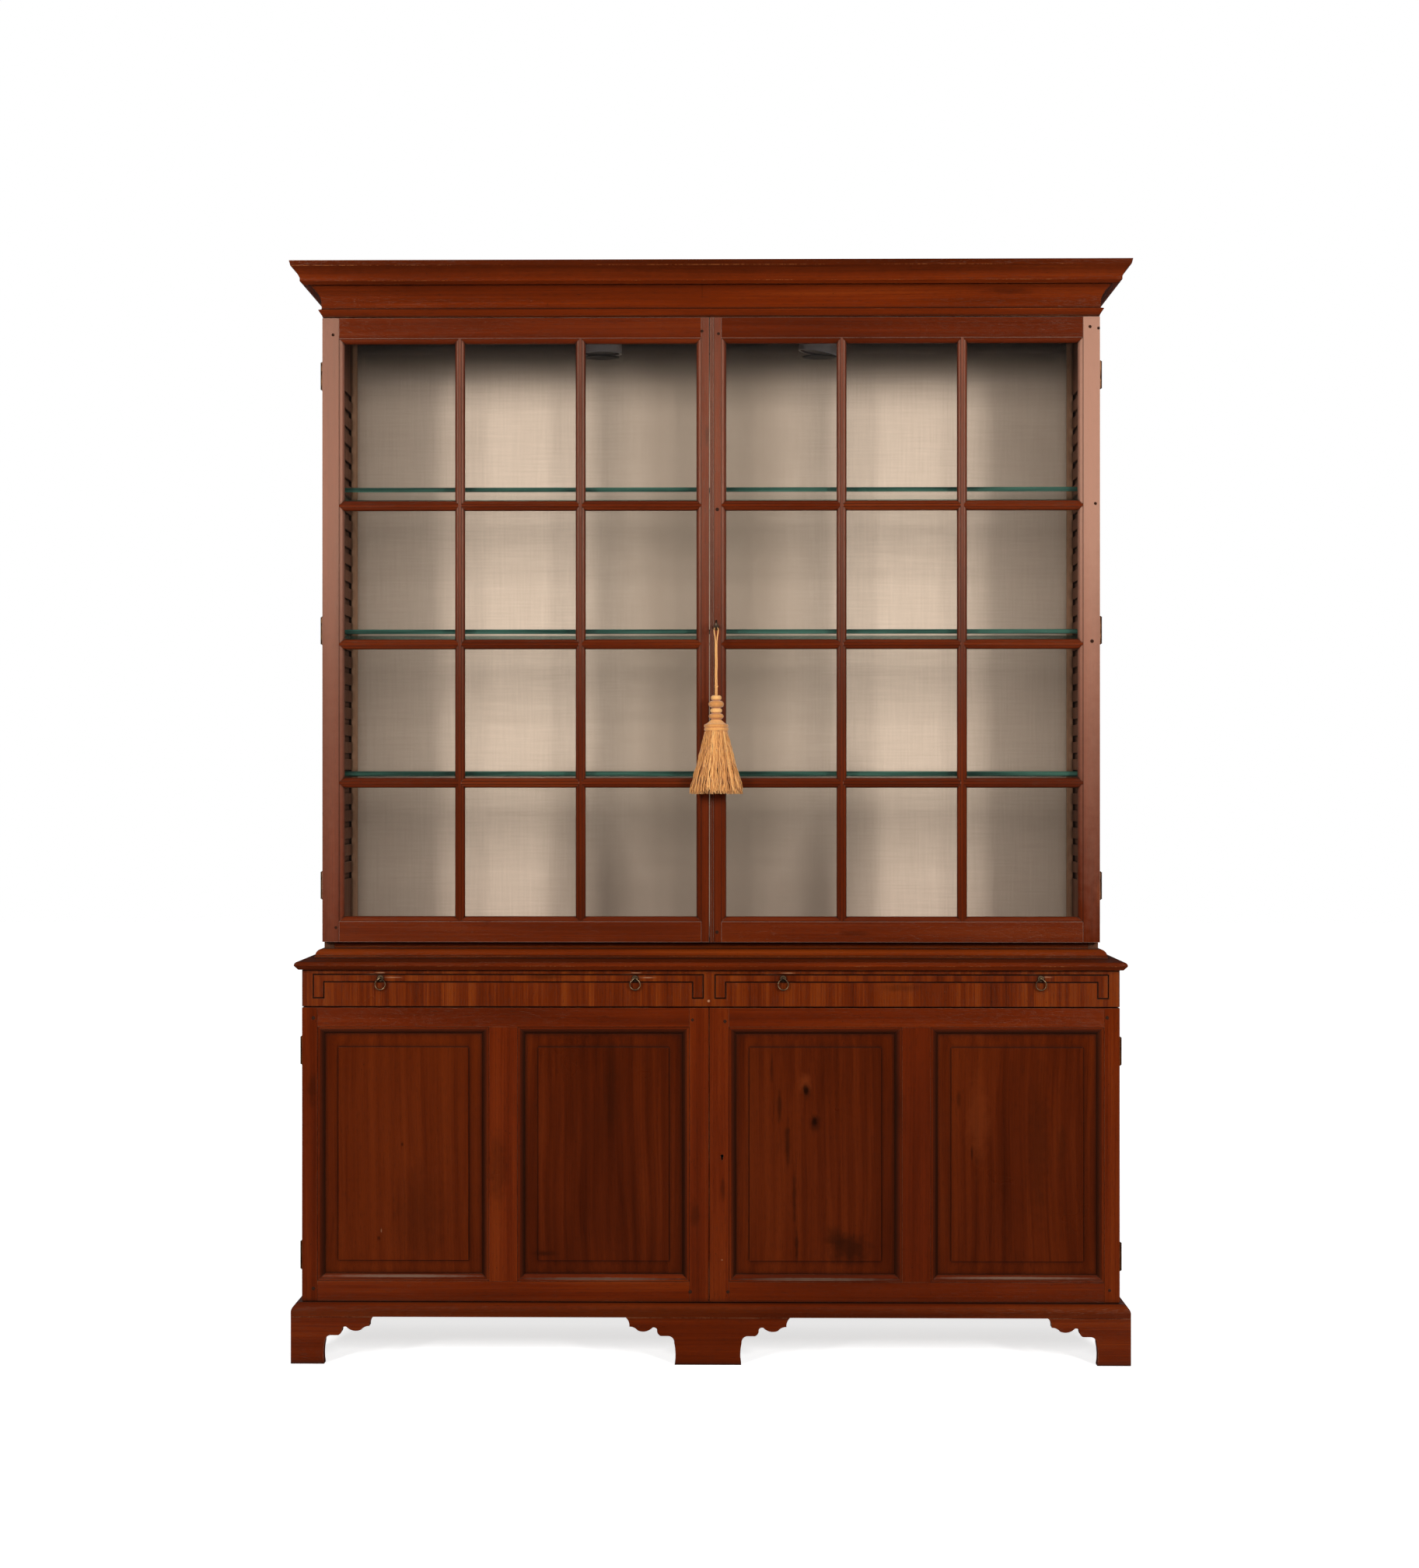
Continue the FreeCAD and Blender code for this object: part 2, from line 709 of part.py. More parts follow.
def puck_light(name, x, tilt):
    """A round lamp head with a shallow dish, under its mounting disc."""
    y = upper_face + size.light_setback
    mount_low = ceiling - size.light_mount_thickness
    mount = rod(name + "_mount", size.light_mount_radius, (x, y, mount_low), "Z", size.light_mount_thickness)
    head = doc.addObject("Part::Cylinder", name + "_head")
    bind(head, "Radius", size.light_radius)
    bind(head, "Height", size.light_thickness)
    dish = doc.addObject("Part::Cylinder", name + "_dish")
    bind(dish, "Radius", size.light_radius - size.light_rim)
    bind(dish, "Height", size.light_dish_depth * 2)
    turn = math.radians(tilt)
    lean = FreeCAD.Rotation(Vector(0, 1, 0), tilt)
    for piece, drop in ((head, size.light_thickness), (dish, size.light_thickness + size.light_dish_depth)):
        piece.Placement.Rotation = lean
        place(piece, x - drop * math.sin(turn), y, mount_low + size.light_overlap - drop * math.cos(turn))
    return cut(name, fuse(name + "_blank", [mount, head]), [dish])


node("puck_lights", [
    puck_light("left_light", -size.light_spacing, 0),
    puck_light("right_light", size.light_spacing, light_tilt_degrees),
])


def sided(profile, side):
    """A section turned so that its projections point along or against the sketch's first axis."""
    return [(entry[0] * side, entry[1]) + tuple(-side * bulge for bulge in entry[2:]) for entry in profile]


# Mitred mouldings: a front piece and two returns, cut at 45 degrees to meet at the corners.
def mitred_moulding(name, profile, reach, side_face, front_face, seat, bottom):
    """The profile runs from the bottom of its back to the top; each entry is projection, height, bulge."""
    cut_past = size.overrun
    low = profile[0][1]
    top = profile[-1][1]
    back_corner = [(seat, low)] if seat.number else []
    front_points = back_corner + sided(profile, -1) + [(seat, top)]
    length = (side_face + reach) * 2
    front = pad(
        name + "_front", "YZ_Plane", front_points, length, (-(side_face + reach), front_face, bottom)
    )
    left_end = [
        (reach, seat + cut_past),
        (reach, nothing),
        (-cut_past, -reach - cut_past),
        (-cut_past, seat + cut_past),
    ]
    right_end = [(length - x, y) for x, y in left_end]
    pocket_through(front, name + "_left_mitre", "XY_Plane", left_end, True)
    pocket_through(front, name + "_right_mitre", "XY_Plane", right_end, True)
    pieces = [front]
    run = back - front_face
    for side, label in ((-1, "left"), (1, "right")):
        points = sided(profile, side) + [(nothing, top)]
        tag = "%s_%s_return" % (name, label)
        piece = pad(tag, "XZ_Plane", points, run + reach, (side_face * side, back, bottom))
        corner = [
            (-cut_past * side, -run + cut_past),
            ((reach + cut_past) * side, -run - reach - cut_past),
            (-cut_past * side, -run - reach - cut_past),
        ]
        pocket_through(piece, tag + "_mitre", "XY_Plane", corner, True)
        pieces.append(piece)
    return pieces


def scaled_profile(shares, projection, height):
    return [(projection * entry[0], height * entry[1]) + tuple(entry[2:]) for entry in shares]


cornice_profile = scaled_profile(cornice_shares, size.cornice_projection, size.cornice_height)
cornice_seat = upper_front - upper_face
node("cornice", mitred_moulding(
    "cornice", cornice_profile, size.cornice_projection, upper_half, upper_face, cornice_seat, cornice_bottom
))

waist_ledge = size.waist_projection - size.waist_quirk
waist_profile = [
    (nothing, nothing),
    (size.waist_projection, nothing),
    (size.waist_projection, size.waist_fillet),
    (waist_ledge, size.waist_fillet),
    (waist_ledge, size.waist_fillet + size.waist_quirk, -quarter_round_share),
    (waist_ledge - size.waist_ovolo_width, size.waist_height),
]
node("waist_moulding", mitred_moulding(
    "waist", waist_profile, size.waist_projection, upper_half, upper_front, nothing, base_top
))

plinth_profile = [
    (nothing, nothing),
    (size.plinth_projection, nothing),
    (size.plinth_projection, size.plinth_flat, -quarter_round_share),
    (size.quirk, size.plinth_height),
]
plinth_seat = lower_front - lower_face
node("plinth_moulding", mitred_moulding(
    "plinth", plinth_profile, size.plinth_projection, base_half, lower_face, plinth_seat, plinth_bottom
))


# Base case.
def base_side(name, side, recesses):
    x = span(side, base_inner, base_half)
    return cut(name + "_cut", board(name, x, (lower_front, back), (plinth_bottom, frieze_top)), recesses)


node("base_sides", [
    base_side("base_left_side", -1, hinges["lower_left"][4]),
    base_side("base_right_side", 1, hinges["lower_right"][4]),
])

top_reach = base_half + size.base_top_projection
top_front = lower_face - size.base_top_projection
tip_z = frieze_top + size.base_top_tip_height
slab = board("base_top_slab", (-top_reach, top_reach), (top_front, back), (tip_z, base_top))
rounded = doc.addObject("Part::Fillet", "base_top_rounded")
rounded.Base = slab
doc.recompute()


def rounded_edges(shape):
    """The top edges at the front and the two sides."""
    chosen = []
    for number, edge in enumerate(shape.Edges, 1):
        centre = edge.CenterOfMass
        at_top = abs(centre.z - base_top.number) < size.quirk.number
        at_back = abs(centre.y - back.number) < size.quirk.number
        if at_top and not at_back:
            chosen.append((number, size.base_top_rounding.number, size.base_top_rounding.number))
    return chosen


rounded.Edges = rounded_edges(slab.Shape)


def wedge(name, values):
    """A block whose first face (Xmin to Zmax) is smaller or larger than its second (X2min to Z2max)."""
    block = doc.addObject("Part::Wedge", name)
    order = ("Ymax", "X2max", "Xmax", "Z2max", "Zmax", "Ymin", "X2min", "Xmin", "Z2min", "Zmin")
    for prop in order:
        setattr(block, prop, values[prop].number)
        bind(block, prop, values[prop])
    return block


slope = wedge("base_top_slope", {
    "Xmin": size.base_top_undercut,
    "Xmax": top_reach * 2 - size.base_top_undercut,
    "Ymin": nothing,
    "Ymax": size.base_top_tip_height,
    "Zmin": nothing,
    "Zmax": back - top_front - size.base_top_undercut,
    "X2min": nothing,
    "X2max": top_reach * 2,
    "Z2min": nothing,
    "Z2max": back - top_front,
})
slope.Placement.Rotation = FreeCAD.Rotation(Vector(1, 0, 0), 90)
place(slope, -top_reach, back, frieze_top)
node("base_top", [fuse("base_top_joined", [rounded, slope])])

base_across = (-base_inner, base_inner)
base_depth_span = (lower_front, board_front)
node("base_bottom_board", [
    board("base_floor", base_across, base_depth_span, (base_floor_under, base_floor_top))
])
node("base_back_boards", back_boards("base_back", base_inner, plinth_bottom, frieze_top))
dust_board = board("dust_panel", base_across, base_depth_span, (frieze_bottom, dust_top))
node("dust_board", [cut("dust_cut", dust_board, [base_mortise])])
shelf_low = base_floor_top + size.shelf_rise
node("cupboard_shelf", [
    board(
        "lower_shelf",
        base_across,
        (lower_front + size.shelf_setback, board_front),
        (shelf_low, shelf_low + size.shelf_thickness),
    )
])


# Frieze with its two pull-out slides.
rail_under = frieze_top - size.slide_rail_height
strip_top = rail_under - size.slide_gap
strip_low = strip_top - size.slide_strip_height
leg_low = strip_low - size.slide_leg_height
half_muntin = size.frieze_muntin_width / 2 + size.slide_side_gap
post = size.frieze_post_width + size.slide_side_gap
slide_spans = {
    "left": (-base_half + post, meeting_middle - half_muntin),
    "right": (meeting_middle + half_muntin, base_half - post),
}


def slide_hole(x):
    """The opening round one slide's front: a strip with a leg at each end."""
    gap = size.slide_side_gap
    left = x[0] + base_half - gap
    right = x[1] + base_half + gap
    leg = size.slide_leg_width + gap * 2
    low = leg_low - gap - frieze_bottom
    mid = strip_low - gap - frieze_bottom
    high = rail_under - frieze_bottom
    return [
        (left, low),
        (left + leg, low),
        (left + leg, mid),
        (right - leg, mid),
        (right - leg, low),
        (right, low),
        (right, high),
        (left, high),
    ]


frieze_outline = [
    (nothing, nothing),
    (size.base_case_width, nothing),
    (size.base_case_width, size.frieze_height),
    (nothing, size.frieze_height),
]
node("frieze_front", [pad(
    "frieze_panel",
    "XZ_Plane",
    frieze_outline,
    lower_front - lower_face,
    (-base_half, lower_front, frieze_bottom),
    holes=[slide_hole(slide_spans["left"]), slide_hole(slide_spans["right"])],
)])

runner_tall = (strip_low - size.runner_height, strip_low)
runner_depth = (lower_front, board_front)
outer_runner = (base_inner - size.runner_width, base_inner)
centre_reach = half_muntin + size.runner_width
centre_x = (meeting_middle - centre_reach, meeting_middle + centre_reach)
guide_half = size.frieze_muntin_width / 2
guide_x = (meeting_middle - guide_half, meeting_middle + guide_half)
node("slide_runners", [
    board("runner_left", span(-1, *outer_runner), runner_depth, runner_tall),
    board("runner_right", span(1, *outer_runner), runner_depth, runner_tall),
    board("runner_centre", centre_x, runner_depth, runner_tall),
    board("runner_guide", guide_x, runner_depth, (strip_low, strip_top)),
])


def slide(name, x):
    """A pull-out slide: its board, and the front strip with a short leg at each end."""
    length = x[1] - x[0]
    leg = size.slide_leg_width
    rise = size.slide_leg_height
    high = rise + size.slide_strip_height
    outline = [
        (nothing, nothing),
        (leg, nothing),
        (leg, rise),
        (length - leg, rise),
        (length - leg, nothing),
        (length, nothing),
        (length, high),
        (nothing, high),
    ]
    front_back = lower_face + size.slide_front_thickness
    origin = (x[0], front_back, leg_low)
    front = pad(name + "_front", "XZ_Plane", outline, size.slide_front_thickness, origin)
    inset = size.slide_board_inset
    low = strip_low + size.runner_gap
    leaf = board(
        name + "_board",
        (x[0] + inset, x[1] - inset),
        (front_back, board_front - size.slide_back_gap),
        (low, low + size.slide_board_thickness),
    )
    return [front, leaf]


def pull_ring_shape(neck_radius, ring_radius, height, wire_radius):
    """A pear-shaped ring hanging from its own top, which lies on the hinge axis."""
    neck = Vector(0, 0, -neck_radius)
    bowl = Vector(0, 0, -height + ring_radius)
    lean = math.asin((ring_radius - neck_radius) / (neck.z - bowl.z))
    side = Vector(math.cos(lean), 0, math.sin(lean))
    other = Vector(-side.x, 0, side.z)
    top = Vector(0, 0, 0)
    shoulder = Vector(math.sin((math.pi / 2 - lean) / 2), 0, math.cos((math.pi / 2 - lean) / 2))
    other_shoulder = Vector(-shoulder.x, 0, shoulder.z)
    low = Vector(0, 0, -height)
    edges = [
        Part.Arc(top, neck + shoulder * neck_radius, neck + side * neck_radius).toShape(),
        Part.LineSegment(neck + side * neck_radius, bowl + side * ring_radius).toShape(),
        Part.Arc(bowl + side * ring_radius, low, bowl + other * ring_radius).toShape(),
        Part.LineSegment(bowl + other * ring_radius, neck + other * neck_radius).toShape(),
        Part.Arc(neck + other * neck_radius, neck + other_shoulder * neck_radius, top).toShape(),
    ]
    section = Part.Wire([Part.makeCircle(wire_radius, top, Vector(1, 0, 0))])
    return Part.Wire(edges).makePipeShell([section], True, False)


def pull(name, x):
    """A turned post with an eye, and the ring that hangs in it."""
    z = strip_low + size.slide_strip_height / 2
    eye_y = lower_face - size.post_reach + size.post_eye_height / 2
    base_start = (x, lower_face - size.post_base_thickness, z)
    base = rod(name + "_base", size.post_radius, base_start, "Y", size.post_base_thickness)
    stem = rod(name + "_stem", size.post_stem_radius, (x, eye_y, z), "Y", lower_face - eye_y)
    half_eye = size.post_eye_thickness / 2
    eye_start = (x - half_eye, eye_y, z)
    eye = rod(name + "_eye", size.post_eye_height / 2, eye_start, "X", size.post_eye_thickness)
    bore_start = (x - half_eye - size.overrun, eye_y, z)
    bore_length = size.post_eye_thickness + size.overrun * 2
    bore = rod(name + "_eye_bore", size.ring_wire_radius + size.ring_clearance, bore_start, "X", bore_length)
    turned_post = cut(name + "_post", fuse(name + "_post_blank", [base, stem, eye]), [bore])
    ring = doc.addObject("Part::Feature", name + "_ring")
    ring.Shape = pull_ring_shape(
        size.ring_neck_radius.number,
        size.ring_radius.number,
        size.ring_height.number,
        size.ring_wire_radius.number,
    )
    place(ring, x, eye_y, z)
    return turned_post, ring


for label, x in slide_spans.items():
    node(label + "_slide", slide(label, x))
    outer = size.pull_outer_inset if label == "left" else size.pull_inner_inset
    inner = size.pull_inner_inset if label == "left" else size.pull_outer_inset
    first_post, first_ring = pull(label + "_first", x[0] + outer)
    second_post, second_ring = pull(label + "_second", x[1] - inner)
    node(label + "_pull_posts", [first_post, second_post])
    node(label + "_outer_pull_ring", [first_ring if label == "left" else second_ring])
    node(label + "_inner_pull_ring", [second_ring if label == "left" else first_ring])


# Locks: a cut cupboard lock let into the back of each right door's meeting stile.
def lock(name, key_x, key_z, face, back_of_door):
    """Case, bolt, the recess and keyhole for the right stile, and the mortise for the left stile."""
    front = back_of_door - size.lock_depth
    wall = size.lock_wall
    gap = size.lock_gap
    low = key_z - size.lock_below_key
    high = low + size.lock_height
    far = key_x + size.lock_beyond_key
    shell = board(name + "_shell", (right_meeting, far), (front, back_of_door), (low, high))
    hollow = board(
        name + "_hollow",
        (right_meeting + wall, far - wall),
        (front + wall, back_of_door - wall),
        (low + wall, high - wall),
    )
    middle = back_of_door - size.lock_depth / 2
    bolt_depth = (middle - size.lock_bolt_thickness / 2, middle + size.lock_bolt_thickness / 2)
    bolt_tall = (key_z + size.lock_bolt_rise, key_z + size.lock_bolt_rise + size.lock_bolt_height)
    slot_depth = (bolt_depth[0] - gap, bolt_depth[1] + gap)
    slot_tall = (bolt_tall[0] - gap, bolt_tall[1] + gap)
    slot_x = (right_meeting - size.overrun, right_meeting + wall + gap)
    slot = board(name + "_slot", slot_x, slot_depth, slot_tall)
    hole_radius = size.key_radius + size.key_hole_clearance
    hole_length = front + wall + gap - face + size.overrun
    hole = rod(name + "_hole", hole_radius, (key_x, face - size.overrun, key_z), "Y", hole_length)
    half_bit = size.key_bit_thickness / 2 + size.key_hole_clearance
    bit_low = key_z - size.key_bit_radius - size.key_hole_clearance
    hole_depth = (face - size.overrun, front + wall + gap)
    bit_slot = board(name + "_bit_slot", (key_x - half_bit, key_x + half_bit), hole_depth, (bit_low, key_z))
    case = cut(name + "_case", shell, [hollow, slot, hole, bit_slot])
    bar = board(name + "_bar", (right_meeting + gap, far - wall - gap), bolt_depth, bolt_tall)
    talon_x = (key_x - size.talon_gap - size.talon_width, key_x - size.talon_gap)
    talon = board(name + "_talon", talon_x, bolt_depth, (key_z - size.lock_bolt_rise, bolt_tall[0]))
    bolt = fuse(name + "_bolt", [bar, talon])
    recess_x = (right_meeting - size.overrun, far)
    recess = board(name + "_recess", recess_x, (front, back_of_door + size.overrun), (low, high))
    mortise_x = (left_meeting - size.lock_bolt_throw, left_meeting + size.overrun)
    mortise = board(name + "_mortise", mortise_x, slot_depth, slot_tall)
    return case, bolt, [recess, fuse(name + "_keyhole", [hole, bit_slot])], mortise


upper_lock = lock("upper_lock", upper_key_x, upper_key_z, upper_face, upper_back_of_door)
lower_lock = lock("lower_lock", lower_key_x, lower_key_z, lower_face, lower_back_of_door)


# Door frames. A section is written as distance from the piece's outer edge and depth behind the face.
def round_share(across, down):
    """The bulge share of an arc that starts level with the face and falls away from it."""
    return (math.hypot(across.number, down.number) - across.number) / (down.number * 2)


def glazed_section(flat):
    width = flat + size.upper_sticking_width
    bulge = round_share(size.upper_sticking_width, size.upper_sticking_depth - size.quirk)
    return [
        (nothing, nothing),
        (flat, nothing),
        (flat, size.quirk, bulge),
        (width, size.upper_sticking_depth),
        (width, size.rebate_depth),
        (width - size.rebate_width, size.rebate_depth),
        (width - size.rebate_width, size.door_thickness),
        (nothing, size.door_thickness),
    ]


def grooved_edge(flat, side):
    """The moulded and grooved inner edge of a panelled frame, from the face to the back."""
    width = flat + size.lower_sticking_width
    groove_end = size.panel_groove_start + size.panel_groove_width
    bulge = round_share(size.lower_sticking_width, size.lower_sticking_depth - size.quirk)
    edge = [
        (flat, nothing),
        (flat, size.quirk, bulge),
        (width, size.lower_sticking_depth),
        (width, size.panel_groove_start),
        (width - size.panel_groove_depth, size.panel_groove_start),
        (width - size.panel_groove_depth, groove_end),
        (width, groove_end),
        (width, size.door_thickness),
    ]
    return [(entry[0] * side, entry[1]) + tuple(bulge * side for bulge in entry[2:]) for entry in edge]


def panelled_section(flat):
    return [(nothing, nothing)] + grooved_edge(flat, 1) + [(nothing, size.door_thickness)]


def reversed_outline(points):
    """The same outline walked the other way, with each bulge kept on its own edge."""
    count = len(points)
    walked = []
    for index in range(count - 1, -1, -1):
        entry = points[index]
        before = points[index - 1] if index else points[-1]
        walked.append((entry[0], entry[1]) + tuple(-bulge for bulge in before[2:]))
    return walked


def stile(name, section, x, side, face, low, high):
    """An upright: its section's outer edge at x, its moulded edge towards side."""
    points = [(entry[0] * side, entry[1]) + tuple(bulge * side for bulge in entry[2:]) for entry in section]
    return pad(name, "XY_Plane", points, high - low, (x, face, low))


def rail(name, section, z, side, face, x):
    """A crosspiece between two places on X, its moulded edge up or down."""
    points = [(entry[1], entry[0] * side) + tuple(-bulge * side for bulge in entry[2:]) for entry in section]
    return pad(name, "YZ_Plane", points, x[1] - x[0], (x[0], face, z))


def bar_section():
    half = size.bar_width / 2
    fillet = size.bar_fillet_width / 2
    shoulder = size.bar_recess + size.quirk
    bulge = round_share(half - fillet, size.upper_sticking_depth - shoulder)
    return [
        (-half, size.rebate_depth),
        (-half, size.upper_sticking_depth, bulge),
        (-fillet, shoulder),
        (-fillet, size.bar_recess),
        (fillet, size.bar_recess),
        (fillet, shoulder, bulge),
        (half, size.upper_sticking_depth),
        (half, size.rebate_depth),
        (fillet, size.rebate_depth),
        (fillet, size.door_thickness),
        (-fillet, size.door_thickness),
        (-fillet, size.rebate_depth),
    ]


def upper_door(name, side, outer, meeting, meeting_flat, stile_cuts, extras):
    """A glazed door; side is the way from its hinge stile to its meeting stile."""
    face = upper_face
    low = upper_door_bottom
    high = upper_door_top
    hinge_section = glazed_section(size.upper_stile_flat)
    meeting_section = glazed_section(meeting_flat)
    hinge_stile = stile(name + "_hinge_stile", hinge_section, outer, side, face, low, high)
    meeting_stile = stile(name + "_meeting_stile", meeting_section, meeting, -side, face, low, high)
    flats = [outer + size.upper_stile_flat * side, meeting - meeting_flat * side]
    sights = [flats[0] + size.upper_sticking_width * side, flats[1] - size.upper_sticking_width * side]
    if side < 0:
        flats.reverse()
        sights.reverse()
    top = rail(name + "_top_rail", glazed_section(size.upper_top_rail_flat), high, -1, face, flats)
    bottom = rail(name + "_bottom_rail", glazed_section(size.upper_bottom_rail_flat), low, 1, face, flats)
    rails = cut(name + "_rails", group(name + "_rail_pair", [top, bottom]), [hinge_stile, meeting_stile])
    flat_low = low + size.upper_bottom_rail_flat
    flat_high = high - size.upper_top_rail_flat
    sight_low = flat_low + size.upper_sticking_width
    sight_high = flat_high - size.upper_sticking_width
    pane_width = (sights[1] - sights[0] - size.bar_width * (pane_columns - 1)) / pane_columns
    column_pitch = pane_width + size.bar_width
    row_pitch = size.pane_height + size.bar_width
    columns = [sights[0] + column_pitch * number - size.bar_width / 2 for number in range(1, pane_columns)]
    rows = [sight_low + row_pitch * number - size.bar_width / 2 for number in range(1, pane_rows)]
    section = bar_section()
    uprights = [
        stile("%s_upright_%d" % (name, number), section, x, 1, face, flat_low, flat_high)
        for number, x in enumerate(columns, 1)
    ]
    upright_bars = cut(name + "_uprights", group(name + "_upright_pair", uprights), [rails])
    crosses = [
        rail("%s_cross_%d" % (name, number), section, z, 1, face, flats) for number, z in enumerate(rows, 1)
    ]
    cross_bars = cut(
        name + "_crosses", group(name + "_cross_set", crosses), [hinge_stile, meeting_stile, upright_bars]
    )
    node("upper_%s_door_stiles" % name, [
        cut(name + "_hinge_stile_cut", hinge_stile, stile_cuts[0]),
        cut(name + "_meeting_stile_cut", meeting_stile, stile_cuts[1]),
    ] + extras)
    node("upper_%s_door_rails" % name, [rails])
    node("upper_%s_glazing_bars" % name, [upright_bars, cross_bars])
    half_rib = size.bar_fillet_width / 2 + size.pane_gap
    reach = size.rebate_width - size.pane_gap
    x_edges = pane_edges(sights[0] - reach, columns, sights[1] + reach, half_rib)
    z_edges = pane_edges(sight_low - reach, rows, sight_high + reach, half_rib)
    depth = (face + size.rebate_depth, face + size.rebate_depth + size.pane_thickness)
    node("upper_%s_panes" % name, [
        board("%s_pane_%d_%d" % (name, row, column), x_edges[column], depth, z_edges[row])
        for row in range(pane_rows)
        for column in range(pane_columns)
    ])


def pane_edges(first, centres, last, half_rib):
    """The two edges of each pane between the frame and the bars."""
    lows = [first] + [centre + half_rib for centre in centres]
    highs = [centre - half_rib for centre in centres] + [last]
    return list(zip(lows, highs))


bead_profile = [
    (nothing, nothing),
    (size.bead_width, nothing),
    (size.bead_width, -size.bead_rise / 2, quarter_round_share),
    (size.bead_width / 2, -size.bead_rise, quarter_round_share),
    (nothing, -size.bead_rise / 2),
]
bead_origin = (right_meeting, upper_face, upper_door_bottom)
cock_bead = pad("cock_bead", "XY_Plane", bead_profile, size.upper_door_height, bead_origin)
upper_door("left", 1, -upper_half, left_meeting, size.left_meeting_flat, (
    hinges["upper_left"][3], [upper_lock[3]]
), [])
upper_door("right", -1, upper_half, right_meeting, size.right_meeting_flat, (
    hinges["upper_right"][3], upper_lock[2]
), [cock_bead])


def fielded_panel(name, x, z):
    """A panel with a raised field: its edges lie in the frame's grooves."""
    front = lower_face + size.panel_groove_start + size.panel_gap
    rear = front + size.panel_groove_width - size.panel_gap * 2
    reach = size.panel_groove_depth - size.panel_gap * 2
    gap = size.panel_gap
    tongue_x = (x[0] - reach, x[1] + reach)
    tongue_z = (z[0] - reach, z[1] + reach)
    tongue = board(name + "_tongue", tongue_x, (front, rear), tongue_z)
    field_front = lower_face + size.panel_field_depth
    bevel_front = field_front + size.panel_step
    margin = size.panel_bevel_width
    field_x = (x[0] + margin, x[1] - margin)
    field_z = (z[0] + margin, z[1] - margin)
    field = board(name + "_field", field_x, (field_front, bevel_front), field_z)
    wide = x[1] - x[0] - gap * 2
    tall = z[1] - z[0] - gap * 2
    bevel = wedge(name + "_bevel", {
        "Xmin": margin,
        "Xmax": wide - margin,
        "Ymin": nothing,
        "Ymax": front - bevel_front,
        "Zmin": margin,
        "Zmax": tall - margin,
        "X2min": nothing,
        "X2max": wide,
        "Z2min": nothing,
        "Z2max": tall,
    })
    place(bevel, x[0] + gap, bevel_front, z[0] + gap)
    return fuse(name, [tongue, bevel, field])


def lower_door(name, side, outer, meeting, hinge_cuts, meeting_cuts):
    """A door with two panels side by side."""
    face = lower_face
    low = lower_door_bottom
    high = lower_door_top
    hinge_section = panelled_section(size.lower_stile_flat)
    meeting_section = panelled_section(size.lower_meeting_flat)
    hinge_stile = stile(name + "_hinge_stile", hinge_section, outer, side, face, low, high)
    meeting_stile = stile(name + "_meeting_stile", meeting_section, meeting, -side, face, low, high)
    flats = [outer + size.lower_stile_flat * side, meeting - size.lower_meeting_flat * side]
    sticking = size.lower_sticking_width
    sights = [flats[0] + sticking * side, flats[1] - sticking * side]
    if side < 0:
        flats.reverse()
        sights.reverse()
    top = rail(name + "_top_rail", panelled_section(size.lower_top_rail_flat), high, -1, face, flats)
    bottom = rail(name + "_bottom_rail", panelled_section(size.lower_bottom_rail_flat), low, 1, face, flats)
    rails = cut(name + "_rails", group(name + "_rail_pair", [top, bottom]), [hinge_stile, meeting_stile])
    flat_low = low + size.lower_bottom_rail_flat
    flat_high = high - size.lower_top_rail_flat
    half_flat = size.lower_muntin_flat / 2
    middle = (sights[0] + sights[1]) / 2
    muntin_section = grooved_edge(half_flat, 1) + reversed_outline(grooved_edge(half_flat, -1))
    muntin = stile(name + "_muntin", muntin_section, middle, 1, face, flat_low, flat_high)
    muntin_cut = cut(name + "_muntin_coped", muntin, [rails])
    node(name + "_door_frame", [
        cut(name + "_hinge_stile_cut", hinge_stile, hinge_cuts),
        cut(name + "_meeting_stile_cut", meeting_stile, meeting_cuts) if meeting_cuts else meeting_stile,
        rails,
        muntin_cut,
    ])
    half_muntin_width = half_flat + sticking
    tall = (flat_low + sticking, flat_high - sticking)
    node(name + "_door_panels", [
        fielded_panel(name + "_first_panel", (sights[0], middle - half_muntin_width), tall),
        fielded_panel(name + "_second_panel", (middle + half_muntin_width, sights[1]), tall),
    ])


lower_door("lower_left", 1, -base_half, left_meeting, hinges["lower_left"][3], [lower_lock[3]])
lower_door("lower_right", -1, base_half, right_meeting, hinges["lower_right"][3], lower_lock[2])

# Fittings.
case_leaves = []
pins = []
for name, fittings in hinges.items():
    if name == "lower_left":
        node("lower_left_door_ironwork", fittings[0] + [base_plate])
    else:
        node(name + "_hinge_leaves", fittings[0])
    case_leaves += fittings[1]
    pins += fittings[2]
node("hinge_case_leaves", case_leaves)
node("hinge_pins", pins)
node("upper_left_bolt_plates", [top_plate, foot_plate])
node("upper_left_top_bolt", [top_bolt])
node("upper_left_bottom_bolt", [foot_bolt])
node("lower_left_bolt", [base_bolt])
node("upper_right_lock", [upper_lock[0]])
node("upper_right_lock_bolt", [upper_lock[1]])
node("lower_right_lock", [lower_lock[0]])
node("lower_right_lock_bolt", [lower_lock[1]])

